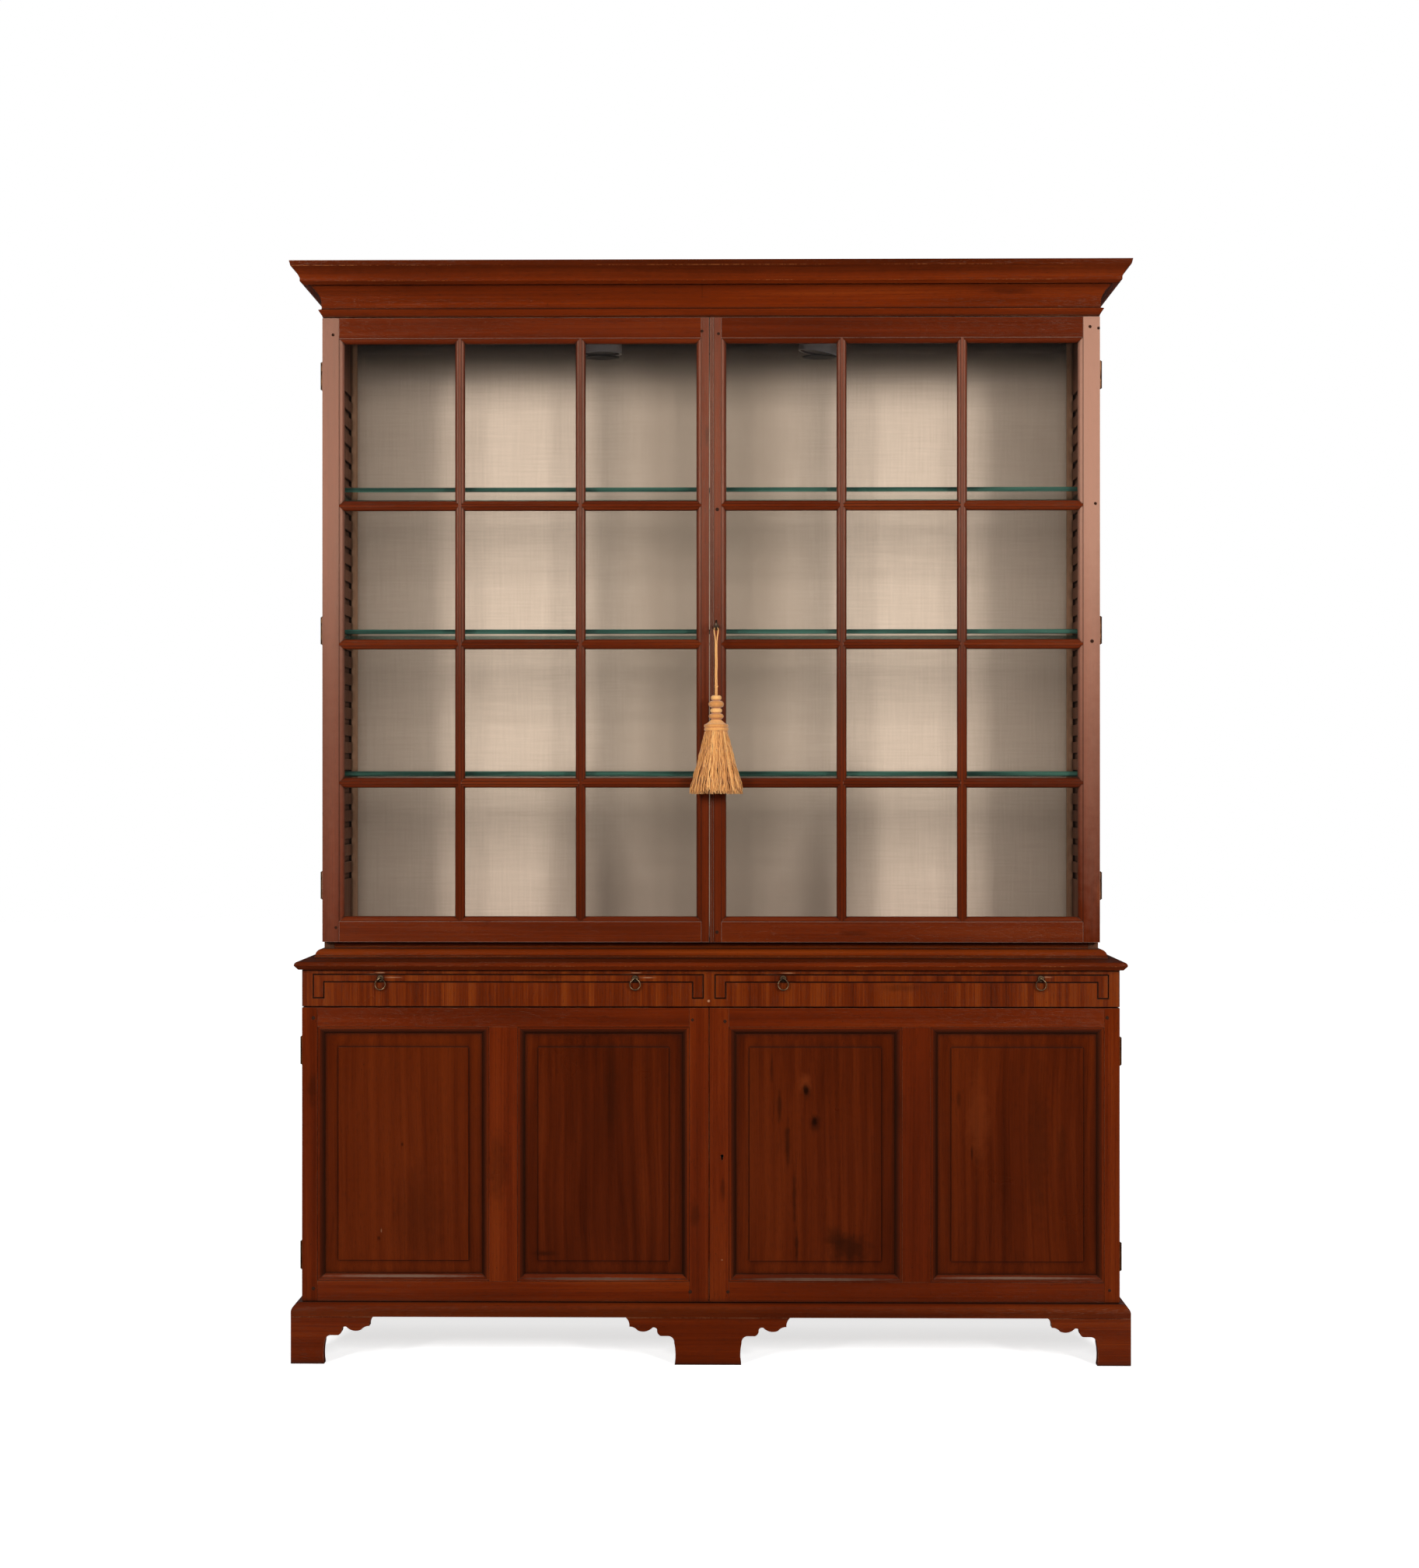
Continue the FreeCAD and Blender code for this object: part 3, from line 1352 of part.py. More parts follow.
stem_front = upper_face - size.key_stem_length
stem_length = upper_back_of_door - size.lock_wall - size.lock_gap - stem_front
key_stem = rod("key_stem", size.key_radius, (upper_key_x, stem_front, upper_key_z), "Y", stem_length)
collar_start = (upper_key_x, upper_face - size.lock_gap - size.key_collar_thickness, upper_key_z)
key_collar = rod("key_collar", size.key_collar_radius, collar_start, "Y", size.key_collar_thickness)
bit_middle = upper_back_of_door - size.lock_depth / 2
key_bit = board(
    "key_bit",
    (upper_key_x - size.key_bit_thickness / 2, upper_key_x + size.key_bit_thickness / 2),
    (bit_middle - size.key_bit_length / 2, bit_middle + size.key_bit_length / 2),
    (upper_key_z - size.key_bit_radius, upper_key_z),
)
bow = doc.addObject("Part::Torus", "key_bow")
bind(bow, "Radius1", size.bow_radius)
bind(bow, "Radius2", size.bow_wire_radius)
bow.Placement.Rotation = FreeCAD.Rotation(Vector(0, 1, 0), 90)
bow_y = stem_front - size.bow_radius
place(bow, upper_key_x, bow_y, upper_key_z)
node("upper_key", [fuse("key_joined", [key_stem, key_collar, key_bit, bow])])


# Bracket feet.
def scallop(start, side):
    """The scalloped edge of a bracket, from the foot's inner edge at the floor up to the plinth."""
    return [
        ((start + size.foot_scallop_reach * entry[0]) * side, size.foot_height * entry[1])
        + tuple(bulge * side for bulge in entry[2:])
        for entry in scallop_shares
    ]


def bracket_outline(width, side):
    return [(nothing, nothing)] + scallop(width, side) + [(nothing, size.foot_height)]


reach = size.plinth_projection
past = size.overrun
front_feet = []
rear_feet = []
for side, label in ((-1, "left"), (1, "right")):
    outer = (base_half + reach) * side
    front_bracket = pad(
        label + "_front_bracket",
        "XZ_Plane",
        bracket_outline(size.corner_foot_width, -side),
        reach,
        (outer, lower_face, nothing),
    )
    front_corner = [
        ((reach + past) * -side, past),
        (past * side, -reach - past),
        (past * side, past),
    ]
    pocket_through(front_bracket, label + "_front_bracket_mitre", "XY_Plane", front_corner, True)
    side_x = -(base_half + reach) if side < 0 else base_half
    side_bracket = pad(
        label + "_side_bracket",
        "YZ_Plane",
        bracket_outline(size.corner_foot_width, 1),
        reach,
        (side_x, lower_face - reach, nothing),
    )
    outer_edge = -past if side < 0 else reach + past
    inner_edge = reach + past if side < 0 else -past
    side_corner = [
        (outer_edge, -past),
        (inner_edge, reach + past),
        (inner_edge, -past),
    ]
    pocket_through(side_bracket, label + "_side_bracket_mitre", "XY_Plane", side_corner, True)
    block_x = span(side, base_half - size.block_width, base_half)
    block_tall = (size.block_lift, size.foot_height)
    front_block_y = (lower_face, lower_face + size.block_width)
    front_block = board(label + "_front_block", block_x, front_block_y, block_tall)
    front_feet += [front_bracket, side_bracket, front_block]
    rear_bracket = pad(
        label + "_rear_bracket",
        "YZ_Plane",
        bracket_outline(size.rear_foot_width, -1),
        reach,
        (side_x, back, nothing),
    )
    rear_block = board(label + "_rear_block", block_x, (back - size.block_width, back), block_tall)
    rear_feet += [rear_bracket, rear_block]

half_centre = size.centre_foot_width / 2
centre_outline = scallop(half_centre, 1) + reversed_outline(scallop(half_centre, -1))
centre_bracket = pad(
    "centre_bracket", "XZ_Plane", centre_outline, reach, (-size.centre_foot_offset, lower_face, nothing)
)
centre_block = board(
    "centre_block",
    (-size.centre_foot_offset - size.block_width, -size.centre_foot_offset + size.block_width),
    (lower_face, lower_face + size.block_width),
    (size.block_lift, size.foot_height),
)
node("front_feet", front_feet + [centre_bracket, centre_block])
node("rear_feet", rear_feet)


# Tassel on the key: a doubled cord through the bow, turned beads, and a skirt under its band.
rim_z = upper_key_z - size.bow_radius
bead_top = rim_z - size.cord_drop


def cord_shape(spread, drop, taper, loop_radius, radius):
    """A doubled cord: straight runs joined by tangent arcs, and a half turn round the bow's wire."""
    bend = Vector(-spread, 0, -taper)
    low = Vector(-spread, 0, -drop)
    distance = bend.Length
    angle = math.atan2(bend.z, bend.x) - math.acos(loop_radius / distance)
    touch = Vector(math.cos(angle), 0, math.sin(angle)) * loop_radius
    upward = (touch - bend).normalize()
    half_turn = Vector(0, 0, 1).getAngle(upward) / 2
    tangent = (touch - bend).Length * cord_run_share
    bend_radius = tangent / math.tan(half_turn)
    print("cord bend radius %.1f mm, loop radius %.2f mm" % (bend_radius, loop_radius))
    before = bend - Vector(0, 0, tangent)
    after = bend + upward * tangent
    inward = (Vector(0, 0, -1) + upward).normalize()
    crown = bend + inward * (bend_radius / math.cos(half_turn) - bend_radius)
    climb = [
        Part.LineSegment(low, before).toShape(),
        Part.Arc(before, crown, after).toShape(),
        Part.LineSegment(after, touch).toShape(),
    ]
    other = [mirrored_x(point) for point in (low, before, crown, after, touch)]
    descent = [
        Part.LineSegment(other[4], other[3]).toShape(),
        Part.Arc(other[3], other[2], other[1]).toShape(),
        Part.LineSegment(other[1], other[0]).toShape(),
    ]
    loop = Part.Arc(touch, Vector(0, 0, loop_radius), other[4]).toShape()
    path = Part.Wire(climb + [loop] + descent)
    section = Part.Wire([Part.makeCircle(radius, low, Vector(0, 0, 1))])
    tube = path.makePipeShell([section], True, False)
    print("cord length %.1f mm, volume over section times length %.4f" % (
        path.Length, tube.Volume / (math.pi * radius * radius * path.Length)
    ))
    return tube


def mirrored_x(point):
    return Vector(-point.x, point.y, point.z)


cord_loop_radius = size.bow_wire_radius + size.cord_gap + size.cord_radius
cord = doc.addObject("Part::Feature", "cord_tube")
cord.Shape = cord_shape(
    size.cord_spread.number,
    size.cord_drop.number,
    size.cord_taper.number,
    cord_loop_radius.number,
    size.cord_radius.number,
)
place(cord, upper_key_x, bow_y, rim_z)
node("tassel_cord", [cord])

core = size.tassel_core_radius
bead_outline = [(nothing, nothing)]
fall = nothing
for height_share, gap_share, radius_share in bead_shares:
    tall = size.bead_stack_height * height_share
    waist = size.tassel_band_width * radius_share - tall / 2
    if fall is not nothing:
        bead_outline.append((core, -fall))
    bead_outline.append((waist, -fall, -half_round_share))
    fall = fall + tall
    bead_outline.append((waist, -fall))
    bead_outline.append((core, -fall))
    fall = fall + size.bead_stack_height * gap_share
bead_outline.append((core, -size.bead_stack_height))
bead_outline.append((nothing, -size.bead_stack_height))
beads = doc.addObject("PartDesign::Body", "beads")
bead_sketch = draw(beads, "beads_outline", "XZ_Plane", bead_outline)
turned = beads.newObject("PartDesign::Revolution", "beads_turned")
turned.Profile = bead_sketch
turned.ReferenceAxis = (bead_sketch, ["V_Axis"])
turned.Angle = 360
place(beads, upper_key_x, bow_y, bead_top)
node("tassel_beads", [beads])

neck_top = bead_top - size.bead_stack_height
band_top = neck_top - size.tassel_neck_height
skirt_top = band_top - size.tassel_band_height
neck = doc.addObject("Part::Cone", "tassel_neck")
bind(neck, "Radius1", size.tassel_band_width / 2)
bind(neck, "Radius2", size.tassel_neck_width / 2)
bind(neck, "Height", size.tassel_neck_height)
place(neck, upper_key_x, bow_y, band_top)
band_start = (upper_key_x, bow_y, skirt_top)
band = rod("tassel_band", size.tassel_band_width / 2, band_start, "Z", size.tassel_band_height)
skirt_sections = []
for number, (height_share, width_share, depth_share) in enumerate(skirt_shares, 1):
    ring = doc.addObject("Part::Ellipse", "skirt_section_%d" % number)
    bind(ring, "MajorRadius", size.tassel_width * width_share / 2)
    bind(ring, "MinorRadius", size.tassel_depth * depth_share / 2)
    place(ring, upper_key_x, bow_y, skirt_top - size.tassel_skirt_height * height_share)
    skirt_sections.append(ring)
skirt = doc.addObject("Part::Loft", "tassel_skirt_loft")
skirt.Sections = skirt_sections
skirt.Solid = True
node("tassel_skirt", [fuse("tassel_joined", [neck, band, skirt])])

doc.recompute()
for thing in doc.Objects:
    if "Invalid" in thing.State or "Error" in thing.State:
        raise RuntimeError("%s is not made: %s" % (thing.Name, thing.State))
os.makedirs("parts", exist_ok=True)
for thing in nodes:
    if thing.Shape.isNull() or not thing.Shape.isValid():
        raise RuntimeError(thing.Label + " has no sound shape")
for thing in nodes:
    thing.Shape.exportStep("parts/%s.step" % thing.Label)
print("%d sub-parts, %d solids" % (len(nodes), sum(len(thing.Shape.Solids) for thing in nodes)))
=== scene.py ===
import json
import math
import random

import bmesh
import bpy
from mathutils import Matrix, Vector, geometry, noise

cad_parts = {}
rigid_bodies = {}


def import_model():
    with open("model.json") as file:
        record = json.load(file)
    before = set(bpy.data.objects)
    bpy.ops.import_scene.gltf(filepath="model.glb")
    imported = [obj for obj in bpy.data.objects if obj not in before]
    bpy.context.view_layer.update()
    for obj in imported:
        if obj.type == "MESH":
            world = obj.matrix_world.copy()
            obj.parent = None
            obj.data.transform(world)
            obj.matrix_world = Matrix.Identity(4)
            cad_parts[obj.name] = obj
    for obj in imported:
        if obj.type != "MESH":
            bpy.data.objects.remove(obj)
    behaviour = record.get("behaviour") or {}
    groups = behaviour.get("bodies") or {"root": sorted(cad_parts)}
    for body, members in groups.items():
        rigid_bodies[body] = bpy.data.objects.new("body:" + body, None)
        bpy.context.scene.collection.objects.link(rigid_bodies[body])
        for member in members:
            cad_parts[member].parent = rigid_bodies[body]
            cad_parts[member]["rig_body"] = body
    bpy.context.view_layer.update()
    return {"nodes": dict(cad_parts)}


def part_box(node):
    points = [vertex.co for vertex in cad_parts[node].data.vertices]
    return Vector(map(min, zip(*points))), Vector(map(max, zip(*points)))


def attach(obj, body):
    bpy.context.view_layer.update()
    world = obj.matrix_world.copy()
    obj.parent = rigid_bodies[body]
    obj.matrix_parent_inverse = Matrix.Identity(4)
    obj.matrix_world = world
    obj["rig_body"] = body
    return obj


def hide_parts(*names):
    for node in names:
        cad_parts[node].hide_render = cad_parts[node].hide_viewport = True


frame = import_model()
print("cabinet frame loaded, %d nodes" % len(frame["nodes"]))

# the photograph's camera: level, in front of the glazed doors; its scale holds at their face
upperFace, lowerFace = -0.13825, -0.21325
cameraSetup = {
    "distance": 4.6,
    "eyeHeight": 1.2563,
    "turnDegrees": 0.6,
    "sideStep": -0.002,
    "lens": 47.83,
    "metresPerPixel": 0.0017173,
    "middlePixel": (913.65, 1008),
}


def placeObject(name, data):
    item = bpy.data.objects.new(name, data)
    bpy.context.scene.collection.objects.link(item)
    return item


def placeCamera(setup):
    turn = math.radians(setup["turnDegrees"])
    away = Vector((math.sin(turn), -math.cos(turn), 0))
    sideways = Vector((math.cos(turn), math.sin(turn), 0))
    camera = placeObject("photoCamera", bpy.data.cameras.new("photoCamera"))
    camera.data.lens = setup["lens"]
    camera.data.clip_end = 100
    start = Vector((0, upperFace, setup["eyeHeight"]))
    camera.location = start + away * setup["distance"] + sideways * setup["sideStep"]
    camera.rotation_euler = (math.radians(90), 0, turn)
    bpy.context.scene.camera = camera


placeCamera(cameraSetup)
bpy.context.scene.view_settings.view_transform = "Standard"


# where a spot of the photograph lies on the cabinet, that far in front of the glazed doors
def fromPicture(spot, forward, setup=cameraSetup):
    scale = setup["metresPerPixel"] * (1 - forward / setup["distance"])
    middleX, middleY = setup["middlePixel"]
    return (spot[0] - middleX) * scale, setup["eyeHeight"] + (middleY - spot[1]) * scale


# small helpers for shader trees; a socket knows the tree it belongs to
def fill(shaderNode, inputs):
    for key, value in inputs.items():
        if isinstance(value, bpy.types.NodeSocket):
            shaderNode.id_data.links.new(value, shaderNode.inputs[key])
        else:
            shaderNode.inputs[key].default_value = value
    return shaderNode


def wire(tree, kind, settings=None, inputs=None):
    shaderNode = tree.nodes.new(kind)
    for key, value in (settings or {}).items():
        setattr(shaderNode, key, value)
    return fill(shaderNode, inputs or {})


def calc(operation, first, second=None, clamp=False):
    inputs = {0: first} if second is None else {0: first, 1: second}
    tree = next(value.id_data for value in inputs.values() if isinstance(value, bpy.types.NodeSocket))
    return wire(tree, "ShaderNodeMath", {"operation": operation, "use_clamp": clamp}, inputs).outputs[0]


def plus(first, second):
    return calc("ADD", first, second)


def minus(first, second):
    return calc("SUBTRACT", first, second)


def times(first, second):
    return calc("MULTIPLY", first, second)


def most(*values):
    result = values[0]
    for value in values[1:]:
        result = calc("MAXIMUM", result, value)
    return result


def spread(value, low, high, toLow=0.0, toHigh=1.0):
    inputs = {"Value": value, "From Min": low, "From Max": high, "To Min": toLow, "To Max": toHigh}
    return wire(value.id_data, "ShaderNodeMapRange", {"clamp": True}, inputs).outputs[0]


def tint(factor, first, second):
    colours = [value if isinstance(value, bpy.types.NodeSocket) else tuple(value) + (1.0,) for value in (first, second)]
    inputs = {0: factor, 6: colours[0], 7: colours[1]}
    return wire(factor.id_data, "ShaderNodeMix", {"data_type": "RGBA"}, inputs).outputs[2]


def vectorCalc(operation, first, second):
    return wire(first.id_data, "ShaderNodeVectorMath", {"operation": operation}, {0: first, 1: second}).outputs[0]


def lengthOf(vector):
    return wire(vector.id_data, "ShaderNodeVectorMath", {"operation": "LENGTH"}, {0: vector}).outputs["Value"]


def axesOf(vector):
    return wire(vector.id_data, "ShaderNodeSeparateXYZ", None, {0: vector}).outputs


def objectPlace(tree):
    return wire(tree, "ShaderNodeTexCoord").outputs["Object"]


# noise with its own number of waves per metre along each axis: the value is output 0, the colour output 1
def grainNoise(vector, scale, detail=2.0, roughness=0.5):
    scale = (scale,) * 3 if isinstance(scale, float) else scale
    stretched = vectorCalc("MULTIPLY", vector, scale)
    inputs = {"Vector": stretched, "Scale": 1.0, "Detail": detail, "Roughness": roughness}
    return wire(vector.id_data, "ShaderNodeTexNoise", None, inputs).outputs


def newGroup(name, inputs, outputs):
    group = bpy.data.node_groups.new(name, "ShaderNodeTree")
    for socketName, value in inputs.items():
        kind = "NodeSocketVector" if value is None else "NodeSocketFloat"
        socket = group.interface.new_socket(name=socketName, in_out="INPUT", socket_type=kind)
        if value is not None:
            socket.default_value = value
    for socketName in outputs:
        group.interface.new_socket(name=socketName, in_out="OUTPUT", socket_type="NodeSocketFloat")
    return group, group.nodes.new("NodeGroupInput").outputs, group.nodes.new("NodeGroupOutput")


def useGroup(tree, group, inputs):
    return wire(tree, "ShaderNodeGroup", {"node_tree": group}, inputs).outputs


def newMaterial(name):
    material = bpy.data.materials.new(name)
    material.use_nodes = True
    tree = material.node_tree
    return material, tree, tree.nodes["Principled BSDF"]


def addBump(shader, distance, height, strength=1.0):
    inputs = {"Strength": strength, "Distance": distance, "Height": height}
    fill(shader, {"Normal": wire(shader.id_data, "ShaderNodeBump", None, inputs).outputs[0]})


def attribute(tree, name):
    return wire(tree, "ShaderNodeAttribute", {"attribute_name": name}).outputs


# a plain material mottled between two colours: the texture is grainNoise's scale, detail and roughness
def makeMottled(name, texture, colours, finish, span=None):
    material, tree, shader = newMaterial(name)
    mottle = grainNoise(objectPlace(tree), *texture)[0]
    amount = spread(mottle, *span) if span else mottle
    fill(shader, {"Base Color": tint(amount, *colours), **finish})
    return material


fullTurn = 6.283


# wood grain in the board's own space: x runs along the board, in metres
def makeGrainGroup():
    group, given, made = newGroup(
        "mahoganyGrain", {"Board Space": None, "Waver": 0.01, "Ring Spacing": 0.03},
        ["Streaks", "Rings", "Pores", "Drift", "Height"],
    )
    space = given["Board Space"]
    sway = grainNoise(space, (1.4, 2.6, 2.6), 1.0)[1]
    centred = vectorCalc("SUBTRACT", sway, (0.5, 0.5, 0.5))
    scaled = wire(group, "ShaderNodeVectorMath", {"operation": "SCALE"}, {0: centred, "Scale": given["Waver"]})
    bent = vectorCalc("ADD", space, scaled.outputs[0])
    broad = grainNoise(bent, (0.7, 64.0, 64.0), 4.0, 0.62)[0]
    narrow = grainNoise(bent, (2.6, 300.0, 300.0), 3.0, 0.6)[0]
    parts = axesOf(bent)
    across = plus(parts[1], times(parts[2], 0.7))
    wobble = grainNoise(bent, (0.8, 9.0, 9.0), 2.0)[0]
    turns = plus(calc("DIVIDE", across, given["Ring Spacing"]), times(wobble, 1.6))
    pores = spread(grainNoise(bent, (55.0, 1500.0, 1500.0), 0.0)[0], 0.62, 0.72)
    fill(made, {
        "Streaks": plus(times(broad, 0.55), times(narrow, 0.45)),
        "Rings": spread(calc("SINE", times(turns, fullTurn)), -1.0, 1.0),
        "Pores": pores,
        "Drift": grainNoise(space, (2.0, 9.0, 9.0), 2.0)[0],
        "Height": minus(times(narrow, 0.35), times(pores, 0.6)),
    })
    return group


# rubbed arrises, from the mask that the softened edges carry
def makeEdgeWearGroup():
    group, given, made = newGroup("edgeWear", {"Arris": 0.0, "Place": None, "Patchiness": 0.5}, ["Worn"])
    coarse = grainNoise(given["Place"], 9.0, 3.0, 0.6)[0]
    speckle = grainNoise(given["Place"], 240.0, 2.0, 0.6)[0]
    chance = plus(times(coarse, 0.6), times(speckle, 0.5))
    worn = spread(chance, given["Patchiness"], plus(given["Patchiness"], 0.12))
    fill(made, {"Worn": times(worn, given["Arris"])})
    return group


# darker where surfaces meet, from ambient occlusion: partly old wax and dust, partly painted shade; a wide soft edge
# and a narrow dark one
def makeCreviceGroup():
    group, given, made = newGroup("creviceWaxAndShade", {"Reach": 0.012}, ["Dirt"])
    hidden = wire(group, "ShaderNodeAmbientOcclusion", {"samples": 3}, {"Distance": given["Reach"]})
    near = times(given["Reach"], 0.4)
    packed = wire(group, "ShaderNodeAmbientOcclusion", {"samples": 4}, {"Distance": near})
    wideDirtAndShade = spread(hidden.outputs["AO"], 0.45, 0.95, 0.9, 0.0)
    narrowDirtAndShade = spread(packed.outputs["AO"], 0.72, 0.985, 1.0, 0.0)
    fill(made, {"Dirt": most(wideDirtAndShade, narrowDirtAndShade)})
    return group


# a soft round mark at one place, such as a knot, a stain or a rub
def makeMarkGroup():
    group, given, made = newGroup(
        "roundMark", {"Place": None, "Centre": None, "Size": None, "Rough": 0.5, "Ragged": 0.3}, ["Mask"],
    )
    offset = vectorCalc("SUBTRACT", given["Place"], given["Centre"])
    length = lengthOf(vectorCalc("DIVIDE", offset, given["Size"]))
    ragged = times(minus(given["Rough"], 0.5), given["Ragged"])
    fill(made, {"Mask": spread(plus(length, ragged), 0.35, 1.0, 1.0, 0.0)})
    return group


grainGroup = makeGrainGroup()
edgeWearGroup = makeEdgeWearGroup()
creviceWaxAndShadeGroup = makeCreviceGroup()
markGroup = makeMarkGroup()

# polished and plain woods: dark, middle and light grain colours, and how they are finished
polishedWood = {"dirt": (0.012, 0.004, 0.002), "roughness": 0.3, "specular": 0.28, "silk": 0.9, "rings": 0.05,
    "contrast": 0.6, "wear": 0.5, "bump": 0.0001, "reach": 0.012}
plainWood = {"roughness": 0.6, "specular": 0.2, "silk": 0.5, "waver": 0.01, "rings": 0.06, "ringSpacing": 0.05,
    "contrast": 0.7, "wear": 0.6, "bump": 0.00012, "reach": 0.012}
woodFinishes = {
    "polishedMahogany": dict(polishedWood, dark=(0.036, 0.0036, 0.0004), middle=(0.105, 0.0115, 0.0008),
        light=(0.19, 0.031, 0.0028), worn=(0.26, 0.1, 0.045), specular=0.3, waver=0.012, ringSpacing=0.045),
    # the pale worn colour on these arrises is partly rubbed wear, partly painted sheen
    "glazedDoorMahogany": dict(polishedWood, dark=(0.036, 0.0045, 0.0008), middle=(0.1, 0.0125, 0.0018),
        light=(0.175, 0.031, 0.0055), worn=(0.52, 0.33, 0.25), roughness=0.32, specular=0.27, waver=0.008, rings=0.04,
        ringSpacing=0.05, wear=0.35, bump=0.00012),
    "corniceMahogany": dict(polishedWood, dark=(0.04, 0.005, 0.0005), middle=(0.125, 0.0145, 0.0009),
        light=(0.23, 0.04, 0.0032), worn=(0.28, 0.09, 0.025), waver=0.008, ringSpacing=0.03, wear=0.56),
    "panelMahogany": dict(polishedWood, dark=(0.02, 0.0021, 0.0003), middle=(0.07, 0.0082, 0.0006),
        light=(0.132, 0.019, 0.0016), worn=(0.16, 0.04, 0.012), dirt=(0.01, 0.003, 0.0015), waver=0.05, rings=0.06,
        ringSpacing=0.034, wear=0.6, bump=0.00008, reach=0.024),
    "crossbandMahogany": dict(polishedWood, dark=(0.04, 0.004, 0.0004), middle=(0.105, 0.013, 0.0009),
        light=(0.21, 0.04, 0.0035), worn=(0.26, 0.1, 0.045), dirt=(0.01, 0.003, 0.0015), waver=0.004, rings=0.1,
        ringSpacing=0.05, contrast=1.05, bump=0.00008),
    "insideMahogany": dict(plainWood, dark=(0.052, 0.018, 0.008), middle=(0.14, 0.056, 0.03),
        light=(0.215, 0.105, 0.065), worn=(0.34, 0.22, 0.15), dirt=(0.03, 0.014, 0.008), specular=0.12, wear=0.55),
    # the ceiling board: the inside mahogany painted darker, as painted shade under the top
    "shadedCeilingMahogany": dict(plainWood, dark=(0.018, 0.006, 0.003), middle=(0.05, 0.02, 0.011),
        light=(0.085, 0.04, 0.025), worn=(0.16, 0.09, 0.06), dirt=(0.012, 0.006, 0.004), specular=0.1),
    "paleBatten": dict(plainWood, dark=(0.26, 0.13, 0.07), middle=(0.39, 0.205, 0.115), light=(0.5, 0.29, 0.175),
        worn=(0.46, 0.32, 0.22), dirt=(0.08, 0.04, 0.022), roughness=0.65, silk=0.4, waver=0.008, ringSpacing=0.02,
        contrast=0.8),
    "bareBoards": dict(plainWood, dark=(0.12, 0.062, 0.03), middle=(0.23, 0.13, 0.066), light=(0.33, 0.205, 0.115),
        worn=(0.42, 0.3, 0.2), dirt=(0.04, 0.022, 0.012), roughness=0.75, silk=0.3, waver=0.03, rings=0.12,
        ringSpacing=0.028, contrast=0.85, wear=0.62, bump=0.0002),
}
